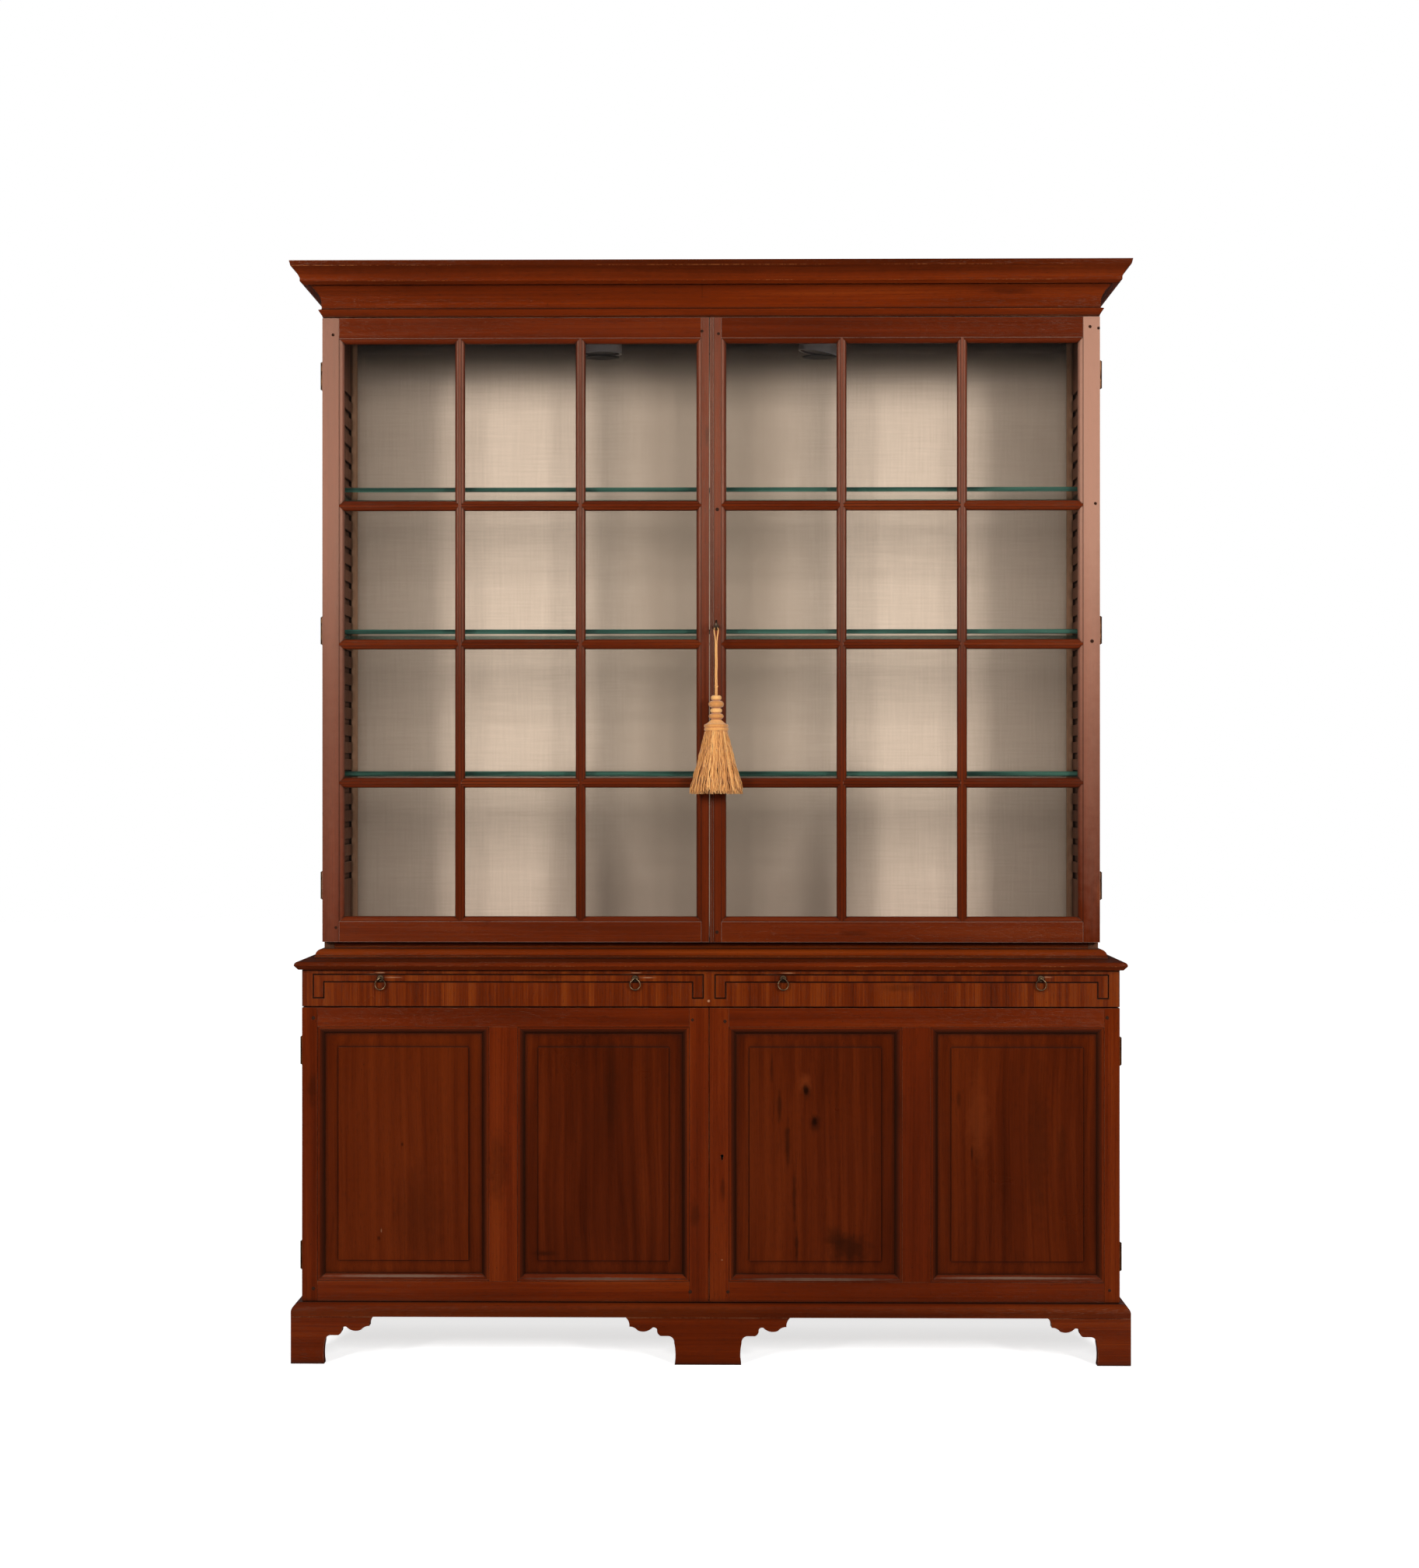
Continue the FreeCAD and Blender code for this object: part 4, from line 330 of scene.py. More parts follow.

# single marks that the years left, and painted sheen: kind, then where in the photograph, width and height in
# millimetres, how strong
markKinds = {
    "knot": {"colour": (0.008, 0.0015, 0.0004)},
    "stain": {"colour": (0.020, 0.0035, 0.0008)},
    "crack": {"colour": (0.006, 0.0015, 0.0008)},
    "patch": {"colour": (0.150, 0.026, 0.004)},
    "scratch": {"colour": (0.340, 0.170, 0.090)},
    # painted sheen: a pale warm sheen, on upright grain only
    "bloom": {"colour": (0.400, 0.205, 0.140), "ragged": 0.15, "uprightOnly": True},
    "dust": {"colour": (0.150, 0.095, 0.065), "ragged": 0.5},
    "band": {"colour": (0.020, 0.0035, 0.0008), "ragged": 0.5},
}
woodMarks = {
    "panelMahogany": {"forward": 0.072, "marks": [
        ("patch", [(1036, 1394, 34, 60, 0.5)]), ("stain", [(1037, 1402, 24, 42, 0.75)]),
        ("knot", [(1037, 1402, 13, 24, 0.9)]), ("stain", [(1048, 1443, 30, 44, 0.7)]),
        ("knot", [(1048, 1442, 14, 22, 0.9)]), ("stain", [(1092, 1605, 110, 84, 0.75), (1074, 1590, 50, 60, 0.5),
            (993, 1372, 9, 90, 0.6), (1003, 1420, 12, 100, 0.65), (1013, 1470, 16, 110, 0.7),
            (1022, 1535, 11, 150, 0.6), (1025, 1600, 10, 90, 0.75)]), ("patch", [(1258, 1440, 60, 230, 0.35)]),
        ("crack", [(1250, 1482, 7, 40, 0.6)]), ("stain", [(1233, 1412, 12, 50, 0.55)]),
        ("knot", [(517, 1472, 7, 10, 0.75), (487, 1593, 9, 14, 0.7)]), ("scratch", [(490, 1583, 4, 12, 0.35)]),
        ("stain", [(540, 1560, 130, 250, 0.25), (700, 1612, 70, 16, 0.7), (786, 1400, 40, 260, 0.4),
            (1335, 1470, 60, 420, 0.35), (1365, 1480, 24, 150, 0.35)]),
    ]},
    "crossbandMahogany": {"forward": 0.075, "marks": [
        ("scratch", [(478, 1253, 52, 3.4, 0.75), (505, 1257, 46, 3.0, 0.6), (489, 1251, 26, 3.0, 0.8),
            (806, 1253, 46, 3.4, 0.7), (834, 1257, 42, 3.0, 0.6), (818, 1251, 28, 3.0, 0.8),
            (992, 1253, 42, 3.2, 0.7), (1014, 1251, 32, 2.8, 0.7), (1327, 1253, 42, 3.2, 0.7),
            (1345, 1256, 32, 2.8, 0.6), (912, 1287, 6, 6, 1.0)]), ("stain", [(700, 1256, 90, 16, 0.45),
            (1160, 1270, 120, 20, 0.35)]),
    ]},
    "polishedMahogany": {"forward": 0.075, "marks": [
        ("stain", [(401, 1400, 22, 90, 0.5), (894, 1560, 26, 70, 0.45), (930, 1530, 14, 60, 0.5),
            (640, 1500, 60, 190, 0.35), (1150, 1420, 60, 160, 0.35)]), ("scratch", [(929, 1620, 5, 3, 0.6)]),
        ("crack", [(640, 1702, 2, 9, 0.7), (1085, 1705, 2, 6, 0.6)]), ("stain", [(470, 1745, 60, 20, 0.5),
            (1370, 1752, 50, 26, 0.5)]), ("dust", [(517, 1642, 390, 7, 0.75), (773, 1645, 390, 7, 0.75),
            (1047, 1645, 390, 7, 0.75), (1304, 1643, 390, 7, 0.75)]), ("band", [(912, 1686, 3600, 40, 0.5)]),
    ]},
    "glazedDoorMahogany": {"forward": 0.0, "marks": [
        ("crack", [(1412, 472, 26, 1.6, 0.75), (1412, 777, 26, 1.4, 0.75)]), ("patch", [(1414, 1150, 22, 70, 0.5)]),
        ("stain", [(909, 560, 14, 60, 0.5), (906, 980, 12, 60, 0.4), (1100, 1200, 80, 14, 0.4)]),
        # painted sheen on the upper doors' outer stiles
        ("bloom", [(424, 560, 130, 2800, 0.3), (1404, 480, 130, 2600, 0.62)]),
    ]},
    "corniceMahogany": {"forward": 0.03, "marks": [
        ("crack", [(903, 370, 1.4, 40, 0.8)]), ("patch", [(921, 1217, 58, 12, 0.7)]),
        ("crack", [(620, 346, 60, 1.5, 0.6), (1180, 350, 70, 1.5, 0.6)]), ("scratch", [(760, 392, 22, 1.2, 0.3)]),
        ("stain", [(1300, 372, 130, 18, 0.4)]), ("band", [(905, 343, 3600, 56, 0.48)]),
        ("crack", [(800, 341, 180, 2.0, 0.5), (1050, 346, 240, 1.8, 0.5)]),
    ]},
}


def markWood(tree, place, colour, name):
    plan = woodMarks.get(name)
    if plan is None:
        return colour
    rough = grainNoise(place, 60.0, 3.0, 0.6)[0]
    upright = axesOf(attribute(tree, "grainAlong")["Vector"])[2]
    for kind, spots in plan["marks"]:
        look = markKinds[kind]
        for column, row, wide, tall, amount in spots:
            x, z = fromPicture((column, row), plan["forward"])
            mask = useGroup(tree, markGroup, {
                "Place": place, "Centre": (x, -0.2, z), "Size": (wide / 2000, 0.35, tall / 2000),
                "Rough": rough, "Ragged": look.get("ragged", 1.1),
            })["Mask"]
            mask = times(mask, upright) if "uprightOnly" in look else mask
            colour = tint(times(mask, amount), colour, look["colour"])
    return colour


def makeWood(name, finish):
    material, tree, shader = newMaterial(name)
    space = attribute(tree, "grainSpace")["Vector"]
    place = objectPlace(tree)
    grain = useGroup(tree, grainGroup, {
        "Board Space": space, "Waver": finish["waver"], "Ring Spacing": finish["ringSpacing"],
    })
    ringed = times(minus(grain["Rings"], 0.5), finish["rings"])
    streaked = times(minus(grain["Streaks"], 0.5), finish["contrast"])
    shade = plus(plus(streaked, 0.5), plus(ringed, times(grain["Drift"], 0.35)))
    shade = plus(shade, times(attribute(tree, "boardTone")["Fac"], 0.13))
    lowHalf = tint(spread(shade, 0.42, 0.70), finish["dark"], finish["middle"])
    colour = tint(spread(shade, 0.68, 1.02), lowHalf, finish["light"])
    colour = tint(times(grain["Pores"], 0.35), colour, finish["dirt"])
    specks = spread(grainNoise(place, 210.0, 1.0)[0], 0.75, 0.79)
    colour = tint(times(specks, 0.7), colour, finish["dirt"])
    colour = markWood(tree, place, colour, name)
    worn = useGroup(tree, edgeWearGroup, {
        "Arris": attribute(tree, "arris")["Fac"], "Place": place, "Patchiness": finish["wear"],
    })["Worn"]
    colour = tint(times(worn, 0.65), colour, finish["worn"])
    # darker where surfaces meet and on marked dark edges: settled wax and dust, partly painted shade
    dirt = useGroup(tree, creviceWaxAndShadeGroup, {"Reach": finish["reach"]})["Dirt"]
    dirt = most(dirt, attribute(tree, "hollow")["Fac"])
    smear = grainNoise(place, 7.0, 3.0, 0.6)[0]
    gloss = plus(finish["roughness"] - 0.07, times(smear, 0.14))
    along = wire(
        tree, "ShaderNodeVectorTransform", {"vector_type": "VECTOR", "convert_from": "OBJECT", "convert_to": "WORLD"},
        {0: attribute(tree, "grainAlong")["Vector"]},
    ).outputs[0]
    facing = wire(tree, "ShaderNodeNewGeometry").outputs["Normal"]
    fill(shader, {
        "Base Color": tint(times(dirt, 0.85), colour, finish["dirt"]),
        "Roughness": plus(gloss, times(plus(dirt, worn), 0.12)),
        "Specular IOR Level": finish["specular"],
        "Specular Tint": (1.0, 0.66, 0.48, 1.0),
        "Anisotropic": finish["silk"],  # fibres spread the sheen across the grain
        "Tangent": vectorCalc("CROSS_PRODUCT", facing, along),
    })
    ripple = grainNoise(space, (5.0, 26.0, 26.0), 2.0)[0]
    addBump(shader, finish["bump"], plus(grain["Height"], times(ripple, 2.0)))
    return material


woods = {name: makeWood(name, finish) for name, finish in woodFinishes.items()}
print("woods mixed: %d" % len(woods))


# skin over a row of rings, with the ends closed or open
def sweep(mesh, rings, closed=False, tone=None):
    layers = mesh.verts.layers.float
    if tone is not None:
        toneLayer = layers.get("strandTone") or layers.new("strandTone")
    corners = [[mesh.verts.new(spot) for spot in ring] for ring in rings]
    if tone is not None:
        for corner in sum(corners, []):
            corner[toneLayer] = tone
    count = len(corners[0])
    for first, second in zip(corners, corners[1:]):
        for place in range(count):
            following = (place + 1) % count
            mesh.faces.new((first[place], first[following], second[following], second[place]))
    if closed:
        mesh.faces.new(list(reversed(corners[0])))
        mesh.faces.new(corners[-1])


def circle(x, y, z, wide, deep, sides, start=0.0):
    turns = (math.tau * side / sides + start for side in range(sides))
    return [(x + wide * math.cos(turn), y + deep * math.sin(turn), z) for turn in turns]


# a ring whose radius swells and shrinks as it goes round
def fluted(x, y, z, radius, sides, depth, flutes, phase=0.0):
    ring = []
    for side in range(sides):
        turn = math.tau * side / sides
        reach = radius + depth * math.sin(flutes * turn + phase)
        ring.append((x + reach * math.cos(turn), y + reach * math.sin(turn), z))
    return ring


def placeMesh(mesh, pieceName, *materials):
    data = bpy.data.meshes.new(pieceName)
    mesh.to_mesh(data)
    mesh.free()
    for material in materials:
        data.materials.append(material)
    return placeObject(pieceName, data)


def fitPiece(piece, body, nodes):
    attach(piece, body)
    if nodes:
        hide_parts(*nodes)
    return piece


def finishPiece(mesh, pieceName, material, body, nodes, smooth=True):
    bmesh.ops.recalc_face_normals(mesh, faces=mesh.faces)
    for face in mesh.faces:
        face.smooth = smooth
    return fitPiece(placeMesh(mesh, pieceName, material), body, nodes)


# the CAD boards one by one: a board is complete when every edge of its triangles has met its twin
def splitBoards(source):
    corners = [tuple(round(value, 6) for value in corner.co) for corner in source.data.vertices]
    boards, faces, unmatched = [], [], set()
    for face in source.data.polygons:
        loop = [corners[index] for index in face.vertices]
        if len(set(loop)) < len(loop):
            continue
        faces.append(loop)
        for first, second in zip(loop, loop[1:] + loop[:1]):
            unmatched ^= {(min(first, second), max(first, second))}
        if not unmatched:
            boards.append(faces)
            faces = []
    return boards + ([faces] if faces else [])


# frames whose moulded inner edges get painted shade, and boards whose every edge is a dark outline
shadedFrames = ("lower_left_door_frame", "lower_right_door_frame")
outlined = ("left_slide", "right_slide", "frieze_front", "lower_left_door_panels", "lower_right_door_panels")
easing = {
    "flatDegrees": 0.5,
    "sharpDegrees": 28,
    "shadedDegrees": 50,
    "grainShift": 20,
    "hollowReach": 1.1,
    "frameMargin": 0.02,
    "stickingDepth": 0.008,
}


# how much painted shade darkens a face beside a panel: all round but the ledge below, more towards the panel
def shadeSticking(face, frameBox, front):
    low, high = frameBox
    middle, facing = face.calc_center_median(), face.normal
    edge = min(middle.x - low.x, high.x - middle.x, middle.z - low.z, high.z - middle.z)
    if edge < easing["frameMargin"] or abs(facing.y) > 0.97 or facing.z > 0.3:
        return 0.0
    return min(0.95, 0.30 + (middle.y - front) / easing["stickingDepth"])


# one board of a node as a clean mesh, its faces merged where they are flat, with the corners it was made from
def cleanBoard(faces):
    mesh = bmesh.new()
    known = {}
    for loop in faces:
        for spot in loop:
            if spot not in known:
                known[spot] = mesh.verts.new(spot)
        mesh.faces.new([known[spot] for spot in loop])
    bmesh.ops.recalc_face_normals(mesh, faces=mesh.faces)
    bmesh.ops.dissolve_limit(mesh, angle_limit=math.radians(easing["flatDegrees"]), verts=mesh.verts, edges=mesh.edges)
    low, high = (Vector([pick(spot[axis] for spot in known) for axis in range(3)]) for pick in (min, max))
    return mesh, low, high


# a CAD board with its saw-sharp edges eased by hand, its grain laid out and its edges marked
def easeBoards(nodeName, woodName, pieceName, ease):
    chance = random.Random(nodeName)
    source = frame["nodes"][nodeName]
    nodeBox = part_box(nodeName)
    whole = bmesh.new()
    spaceLayer = whole.verts.layers.float_vector.new("grainSpace")
    alongLayer = whole.verts.layers.float_vector.new("grainAlong")
    toneLayer = whole.verts.layers.float.new("boardTone")
    arrisLayer = whole.faces.layers.float.new("arris")
    # faces marked dark: eased faces by inner corners with settled dirt and painted shade, every edge of an outlined
    # board, and the painted shade on the frames' sticking
    hollowDirtAndShadeLayer = whole.faces.layers.float.new("hollow")
    for faces in splitBoards(source):
        mesh, low, high = cleanBoard(faces)
        bend = math.radians(easing["sharpDegrees"])
        sharp = [edge for edge in mesh.edges if edge.is_manifold and edge.calc_face_angle(0.0) > bend]
        dark = [edge for edge in sharp if nodeName in outlined or not edge.is_convex]
        inner = [[corner.co.copy() for corner in edge.verts] for edge in dark]
        eased = set()
        if ease and sharp:
            result = bmesh.ops.bevel(mesh, geom=sharp, offset=ease, offset_type="OFFSET", segments=2, profile=0.6,
                                     affect="EDGES", clamp_overlap=True)
            eased = set(result["faces"])
        order = sorted(range(3), key=lambda axis: low[axis] - high[axis])
        lengthwise = order[0]
        if woodName == "crossbandMahogany":
            order = [2] + [axis for axis in order if axis != 2]
        shift = Vector([chance.uniform(-easing["grainShift"], easing["grainShift"]) for _ in range(3)])
        tone = chance.uniform(-0.5, 0.5)
        copies = {}
        for corner in mesh.verts:
            copy = whole.verts.new(corner.co)
            spot = corner.co - (low + high) / 2
            copy[spaceLayer] = Vector([spot[axis] for axis in order]) + shift
            copy[alongLayer] = Vector([float(axis == lengthwise) for axis in range(3)])
            copy[toneLayer] = tone
            copies[corner] = copy
        for face in mesh.faces:
            copy = whole.faces.new([copies[corner] for corner in face.verts])
            copy.smooth = True
            if face in eased:
                middle = face.calc_center_median()
                gaps = ((geometry.intersect_point_line(middle, *ends)[0] - middle).length for ends in inner)
                near = min(gaps, default=1.0) < ease * easing["hollowReach"]
                copy[hollowDirtAndShadeLayer if near else arrisLayer] = 1.0
            # painted shade on the frames' sticking
            if nodeName in shadedFrames:
                copy[hollowDirtAndShadeLayer] = max(copy[hollowDirtAndShadeLayer], shadeSticking(face, nodeBox, low.y))
        mesh.free()
    for edge in whole.edges:
        edge.smooth = edge.calc_face_angle(0.0) < math.radians(easing["shadedDegrees"])
    piece = placeMesh(whole, pieceName, woods[woodName])
    piece.modifiers.new("facedNormals", "WEIGHTED_NORMAL").keep_sharp = True
    return piece, source["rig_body"]


# what each board is made of: finish, record slot, and each node's eased edge in millimetres
boardPlan = [
    ("insideMahogany", "inside_mahogany", {"upper_left_side": 0.8, "upper_right_side": 0.8}),
    ("shadedCeilingMahogany", "inside_mahogany", {"upper_top_board": 0.8}),
    ("corniceMahogany", "inside_mahogany", {"upper_bottom_board": 0.8}),
    ("bareBoards", "carcass_wood", {"upper_back_boards": 1.0, "base_bottom_board": 0.8, "base_back_boards": 1.0,
        "dust_board": 0.6, "slide_runners": 0.6, "cupboard_shelf": 1.0}),
    ("paleBatten", "batten_wood", {"lining_battens": 0.8}),
    ("corniceMahogany", "mahogany", {"cornice": 0.7, "waist_moulding": 0.7, "base_top": 0.8}),
    ("polishedMahogany", "mahogany", {"base_sides": 1.0, "plinth_moulding": 0.7, "front_feet": 0.9, "rear_feet": 0.9,
        "lower_left_door_frame": 0.9, "lower_right_door_frame": 0.9}),
    ("crossbandMahogany", "mahogany", {"frieze_front": 1.3, "left_slide": 1.3, "right_slide": 1.3}),
    ("glazedDoorMahogany", "mahogany", {"upper_left_door_stiles": 1.2, "upper_left_door_rails": 0.9,
        "upper_left_glazing_bars": 1.1, "upper_right_door_stiles": 1.2, "upper_right_door_rails": 0.9,
        "upper_right_glazing_bars": 1.1}),
    ("panelMahogany", "mahogany_panel", {"lower_left_door_panels": 1.2, "lower_right_door_panels": 1.2}),
]


def camelName(nodeName):
    words = nodeName.split("_")
    return words[0] + "".join(word.capitalize() for word in words[1:])


# the upper case's sides are polished outside and plain within
def polishOutside(piece, side):
    piece.data.materials.append(woods["polishedMahogany"])
    for face in piece.data.polygons:
        if face.normal.x * side > 0.7:
            face.material_index = 1


boards = {}
for woodName, slotName, eases in boardPlan:
    for nodeName, ease in eases.items():
        piece, body = easeBoards(nodeName, woodName, camelName(nodeName), ease / 1000)
        boards[nodeName] = fitPiece(piece, body, [nodeName])
polishOutside(boards["upper_left_side"], -1)
polishOutside(boards["upper_right_side"], 1)
print("boards eased: %d" % len(boards))


# clear glass: the panes' old drawn glass and the thick green-edged shelves
glassSetup = {
    "pane": {"colour": (0.97, 0.99, 0.98), "lets": 0.93, "waver": 0.0006},
    "shelf": {"colour": (0.80, 0.92, 0.87), "lets": 0.80, "waver": 0.0},
    "edgeDark": (0.010, 0.032, 0.022),
    "edgeLight": (0.042, 0.110, 0.078),
    "shelfArris": 0.0007,
}


def makeGlass(name, colour, lets, waver):
    material, tree, shader = newMaterial(name)
    path = wire(tree, "ShaderNodeLightPath").outputs
    passing = most(path["Is Shadow Ray"], path["Is Diffuse Ray"], path["Is Glossy Ray"])
    place = objectPlace(tree)
    smears = grainNoise(place, (9.0, 9.0, 3.0), 3.0, 0.6)[0]
    fill(shader, {
        "Base Color": colour + (1.0,), "Transmission Weight": 1.0, "IOR": 1.5,
        "Alpha": spread(passing, 0.0, 1.0, 1.0, 1.0 - lets),
        "Roughness": spread(smears, 0.5, 0.85, 0.0, 0.04),
    })
    addBump(shader, waver, grainNoise(place, (5.0, 5.0, 2.5), 1.0)[0])
    return material


paneGlass = makeGlass("drawnPaneGlass", **glassSetup["pane"])
shelfGlass = makeGlass("shelfGlass", **glassSetup["shelf"])


def makeShelves(setup):
    mesh = bmesh.new()
    mesh.from_mesh(frame["nodes"]["glass_shelves"].data)
    bmesh.ops.remove_doubles(mesh, verts=mesh.verts, dist=0.00002)
    bmesh.ops.dissolve_limit(mesh, angle_limit=math.radians(1), verts=mesh.verts, edges=mesh.edges)
    bmesh.ops.bevel(mesh, geom=mesh.edges[:], offset=setup["shelfArris"], segments=1, affect="EDGES")
    for face in mesh.faces:
        face.material_index = 0 if abs(face.normal.z) > 0.99 else 1
    edge = makeMottled("shelfGlassEdge", ((4.0, 4.0, 160.0), 2.0), (setup["edgeDark"], setup["edgeLight"]),
                       {"Roughness": 0.12, "IOR": 1.5}, (0.35, 0.7))
    fitPiece(placeMesh(mesh, "glassShelves", shelfGlass, edge), "case", ["glass_shelves"])


makeShelves(glassSetup)


def dress(nodeName, material):
    piece = frame["nodes"][nodeName]
    piece.data.materials.clear()
    piece.data.materials.append(material)
    for face in piece.data.polygons:
        face.use_smooth = True


for nodeName in ("upper_left_panes", "upper_right_panes"):
    dress(nodeName, paneGlass)
print("glass set")

# brass and iron, each dulled by handling
metalFinishes = {
    "agedBrass": {
        "clean": (0.52, 0.33, 0.11), "dull": (0.16, 0.085, 0.030), "roughness": 0.34, "slot": "brass",
        "nodes": ["upper_left_bolt_plates", "upper_left_top_bolt", "upper_left_bottom_bolt", "lower_left_bolt"],
    },
    "brownedBrass": {
        "clean": (0.14, 0.060, 0.024), "dull": (0.050, 0.020, 0.009), "roughness": 0.50, "slot": "brass",
        "nodes": ["hinge_case_leaves", "hinge_pins", "upper_left_hinge_leaves", "upper_right_hinge_leaves",
                  "lower_left_door_ironwork", "lower_right_hinge_leaves"],
    },
    "handledBrass": {
        "clean": (0.30, 0.195, 0.105), "dull": (0.070, 0.043, 0.026), "roughness": 0.38, "slot": "brass",
        "nodes": ["left_pull_posts", "right_pull_posts", "left_outer_pull_ring", "left_inner_pull_ring",
                  "right_inner_pull_ring", "right_outer_pull_ring"],
    },
    "brightIron": {
        "clean": (0.42, 0.39, 0.35), "dull": (0.10, 0.075, 0.055), "roughness": 0.40, "slot": "steel",
        "nodes": ["upper_right_lock", "upper_right_lock_bolt", "lower_right_lock", "lower_right_lock_bolt"],
    },
    "brownedIron": {
        "clean": (0.21, 0.155, 0.105), "dull": (0.055, 0.036, 0.024), "roughness": 0.42, "slot": "steel",
        "nodes": ["upper_key"],
    },
}


def makeTarnishGroup():
    group, given, made = newGroup("tarnish", {"Place": None}, ["Dulled", "Scratches"])
    blotches = grainNoise(given["Place"], 60.0, 4.0, 0.6)[0]
    fill(made, {
        "Dulled": spread(blotches, 0.38, 0.62),
        "Scratches": grainNoise(given["Place"], (900.0, 120.0, 500.0), 2.0, 0.6)[0],
    })
    return group


tarnishGroup = makeTarnishGroup()


def makeMetal(name, finish):
    material, tree, shader = newMaterial(name)
    tarnish = useGroup(tree, tarnishGroup, {"Place": objectPlace(tree)})
    dulled = most(tarnish["Dulled"], useGroup(tree, creviceWaxAndShadeGroup, {"Reach": 0.004})["Dirt"])
    fill(shader, {
        "Base Color": tint(dulled, finish["clean"], finish["dull"]), "Metallic": 1.0,
        "Roughness": plus(finish["roughness"] - 0.06, times(dulled, 0.2)),
    })
    addBump(shader, 0.00003, tarnish["Scratches"])
    return material


for metalName, finish in metalFinishes.items():
    metal = makeMetal(metalName, finish)
    for nodeName in finish["nodes"]:
        dress(nodeName, metal)
print("metal dressed")

# the two round lights: grey paint above, a dark domed lens below
lightSetup = {
    "paint": (0.27, 0.235, 0.225),
    "paintShade": (0.20, 0.17, 0.16),
    "lens": (0.006, 0.006, 0.006),
    "lensDust": (0.020, 0.020, 0.019),
    "lensShare": 0.88,
    "lensRings": [(1.0, 0.0005), (1.0, -0.0005), (0.72, -0.0014), (0.30, -0.0020)],
}


def makeLampPaint(setup):
    material, tree, shader = newMaterial("lampPaint")
    mottle = grainNoise(objectPlace(tree), 40.0, 3.0, 0.6)[0]
    fill(shader, {
        "Base Color": tint(mottle, setup["paintShade"], setup["paint"]),
        "Roughness": spread(mottle, 0.3, 0.7, 0.32, 0.46),
    })
    return material


def fitLenses(setup):
    low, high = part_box("puck_lights")
    reach = (high.y - low.y) / 2
    wide = reach * setup["lensShare"]
    mesh = bmesh.new()
    for x in (low.x + reach, high.x - reach):
        sweep(mesh, [circle(x, low.y + reach, low.z + drop, wide * share, wide * share, 48)
                     for share, drop in setup["lensRings"]], True)
    lens = makeMottled("smokedLens", (120.0, 3.0, 0.6), (setup["lens"], setup["lensDust"]),
                       {"Roughness": 0.55, "Specular IOR Level": 0.08}, (0.45, 0.8))
    finishPiece(mesh, "lampLenses", lens, "case", ())


dress("puck_lights", makeLampPaint(lightSetup))
fitLenses(lightSetup)


# the linen that lines the back, stretched over its board
liningSetup = {
    "warpPitch": 0.0021,
    "weftPitch": 0.0024,
    "thread": (0.70, 0.545, 0.425),
    "shade": (0.53, 0.405, 0.305),
    # the two painted shade colours below: one for the linen's shaded places and a darker one under the top
    "toned": (0.30, 0.225, 0.165),
    "head": (0.085, 0.058, 0.043),
    "hollow": 0.0006,
    "step": 0.02,
    "heldEdge": 0.05,
}


def makeWeaveGroup():
    group, given, made = newGroup(
        "plainWeave", {"Place": None, "Warp Pitch": 0.001, "Weft Pitch": 0.001}, ["Threads", "Slubs", "Height"],
    )
    place = given["Place"]
    wander = grainNoise(place, 30.0, 2.0)[1]
    inputs = {0: wander, 1: (0.0008, 0.0, 0.0008), 2: place}
    parts = axesOf(wire(group, "ShaderNodeVectorMath", {"operation": "MULTIPLY_ADD"}, inputs).outputs[0])
    waves = []
    for axis, pitch in ((0, "Warp Pitch"), (2, "Weft Pitch")):
        waves.append(calc("SINE", times(calc("DIVIDE", parts[axis], given[pitch]), fullTurn)))
    threads = spread(times(*waves), -1.0, 1.0)
    longUp = grainNoise(place, (260.0, 1.0, 9.0), 3.0, 0.6)[0]
    longAcross = grainNoise(place, (9.0, 1.0, 260.0), 3.0, 0.6)[0]
    slubs = times(plus(longUp, longAcross), 0.5)
    fill(made, {"Threads": threads, "Slubs": slubs, "Height": plus(threads, slubs)})
    return group


weaveGroup = makeWeaveGroup()


# painted shade on the linen: darker where the closed stiles keep the light off, at both sides, low in the middle and
# under the top, darkest there
def makeLinen(setup):
    material, tree, shader = newMaterial("liningLinen")
    place = objectPlace(tree)
    weave = useGroup(tree, weaveGroup, {
        "Place": place, "Warp Pitch": setup["warpPitch"], "Weft Pitch": setup["weftPitch"],
    })
    uneven = plus(times(weave["Slubs"], 1.1), times(weave["Threads"], 0.25))
    colour = tint(spread(uneven, 0.35, 0.95), setup["shade"], setup["thread"])
    stains = grainNoise(place, 2.5, 4.0, 0.6)[0]
    colour = tint(spread(stains, 0.45, 0.75, 0.0, 0.35), colour, setup["shade"])
    spot = axesOf(place)
    aside = calc("ABSOLUTE", spot[0])
    paintedMiddleShadow = spread(aside, 0.12, 0.32, 1.0, 0.0)
    paintedSideShadow = spread(aside, 0.56, 0.84, 0.0, 0.65)
    paintedTopShadow = spread(spot[2], 2.16, 2.26, 0.0, 0.85)
    paintedLowMiddleShadow = times(spread(spot[2], 1.02, 1.34, 0.9, 0.0), spread(aside, 0.24, 0.42, 1.0, 0.0))
    toned = most(paintedMiddleShadow, paintedSideShadow, paintedTopShadow, paintedLowMiddleShadow)
    colour = tint(times(toned, spread(stains, 0.3, 0.7, 0.85, 1.0)), colour, setup["toned"])
    # painted deep shade under the top and low in the middle
    paintedDeepestShade = most(spread(spot[2], 2.18, 2.26, 0.0, 0.78), times(paintedLowMiddleShadow, 0.35))
    fill(shader, {
        "Base Color": tint(paintedDeepestShade, colour, setup["head"]),
        "Roughness": 0.92, "Specular IOR Level": 0.2, "Sheen Weight": 0.25,
    })
    addBump(shader, 0.0004, weave["Height"], 0.8)
    return material


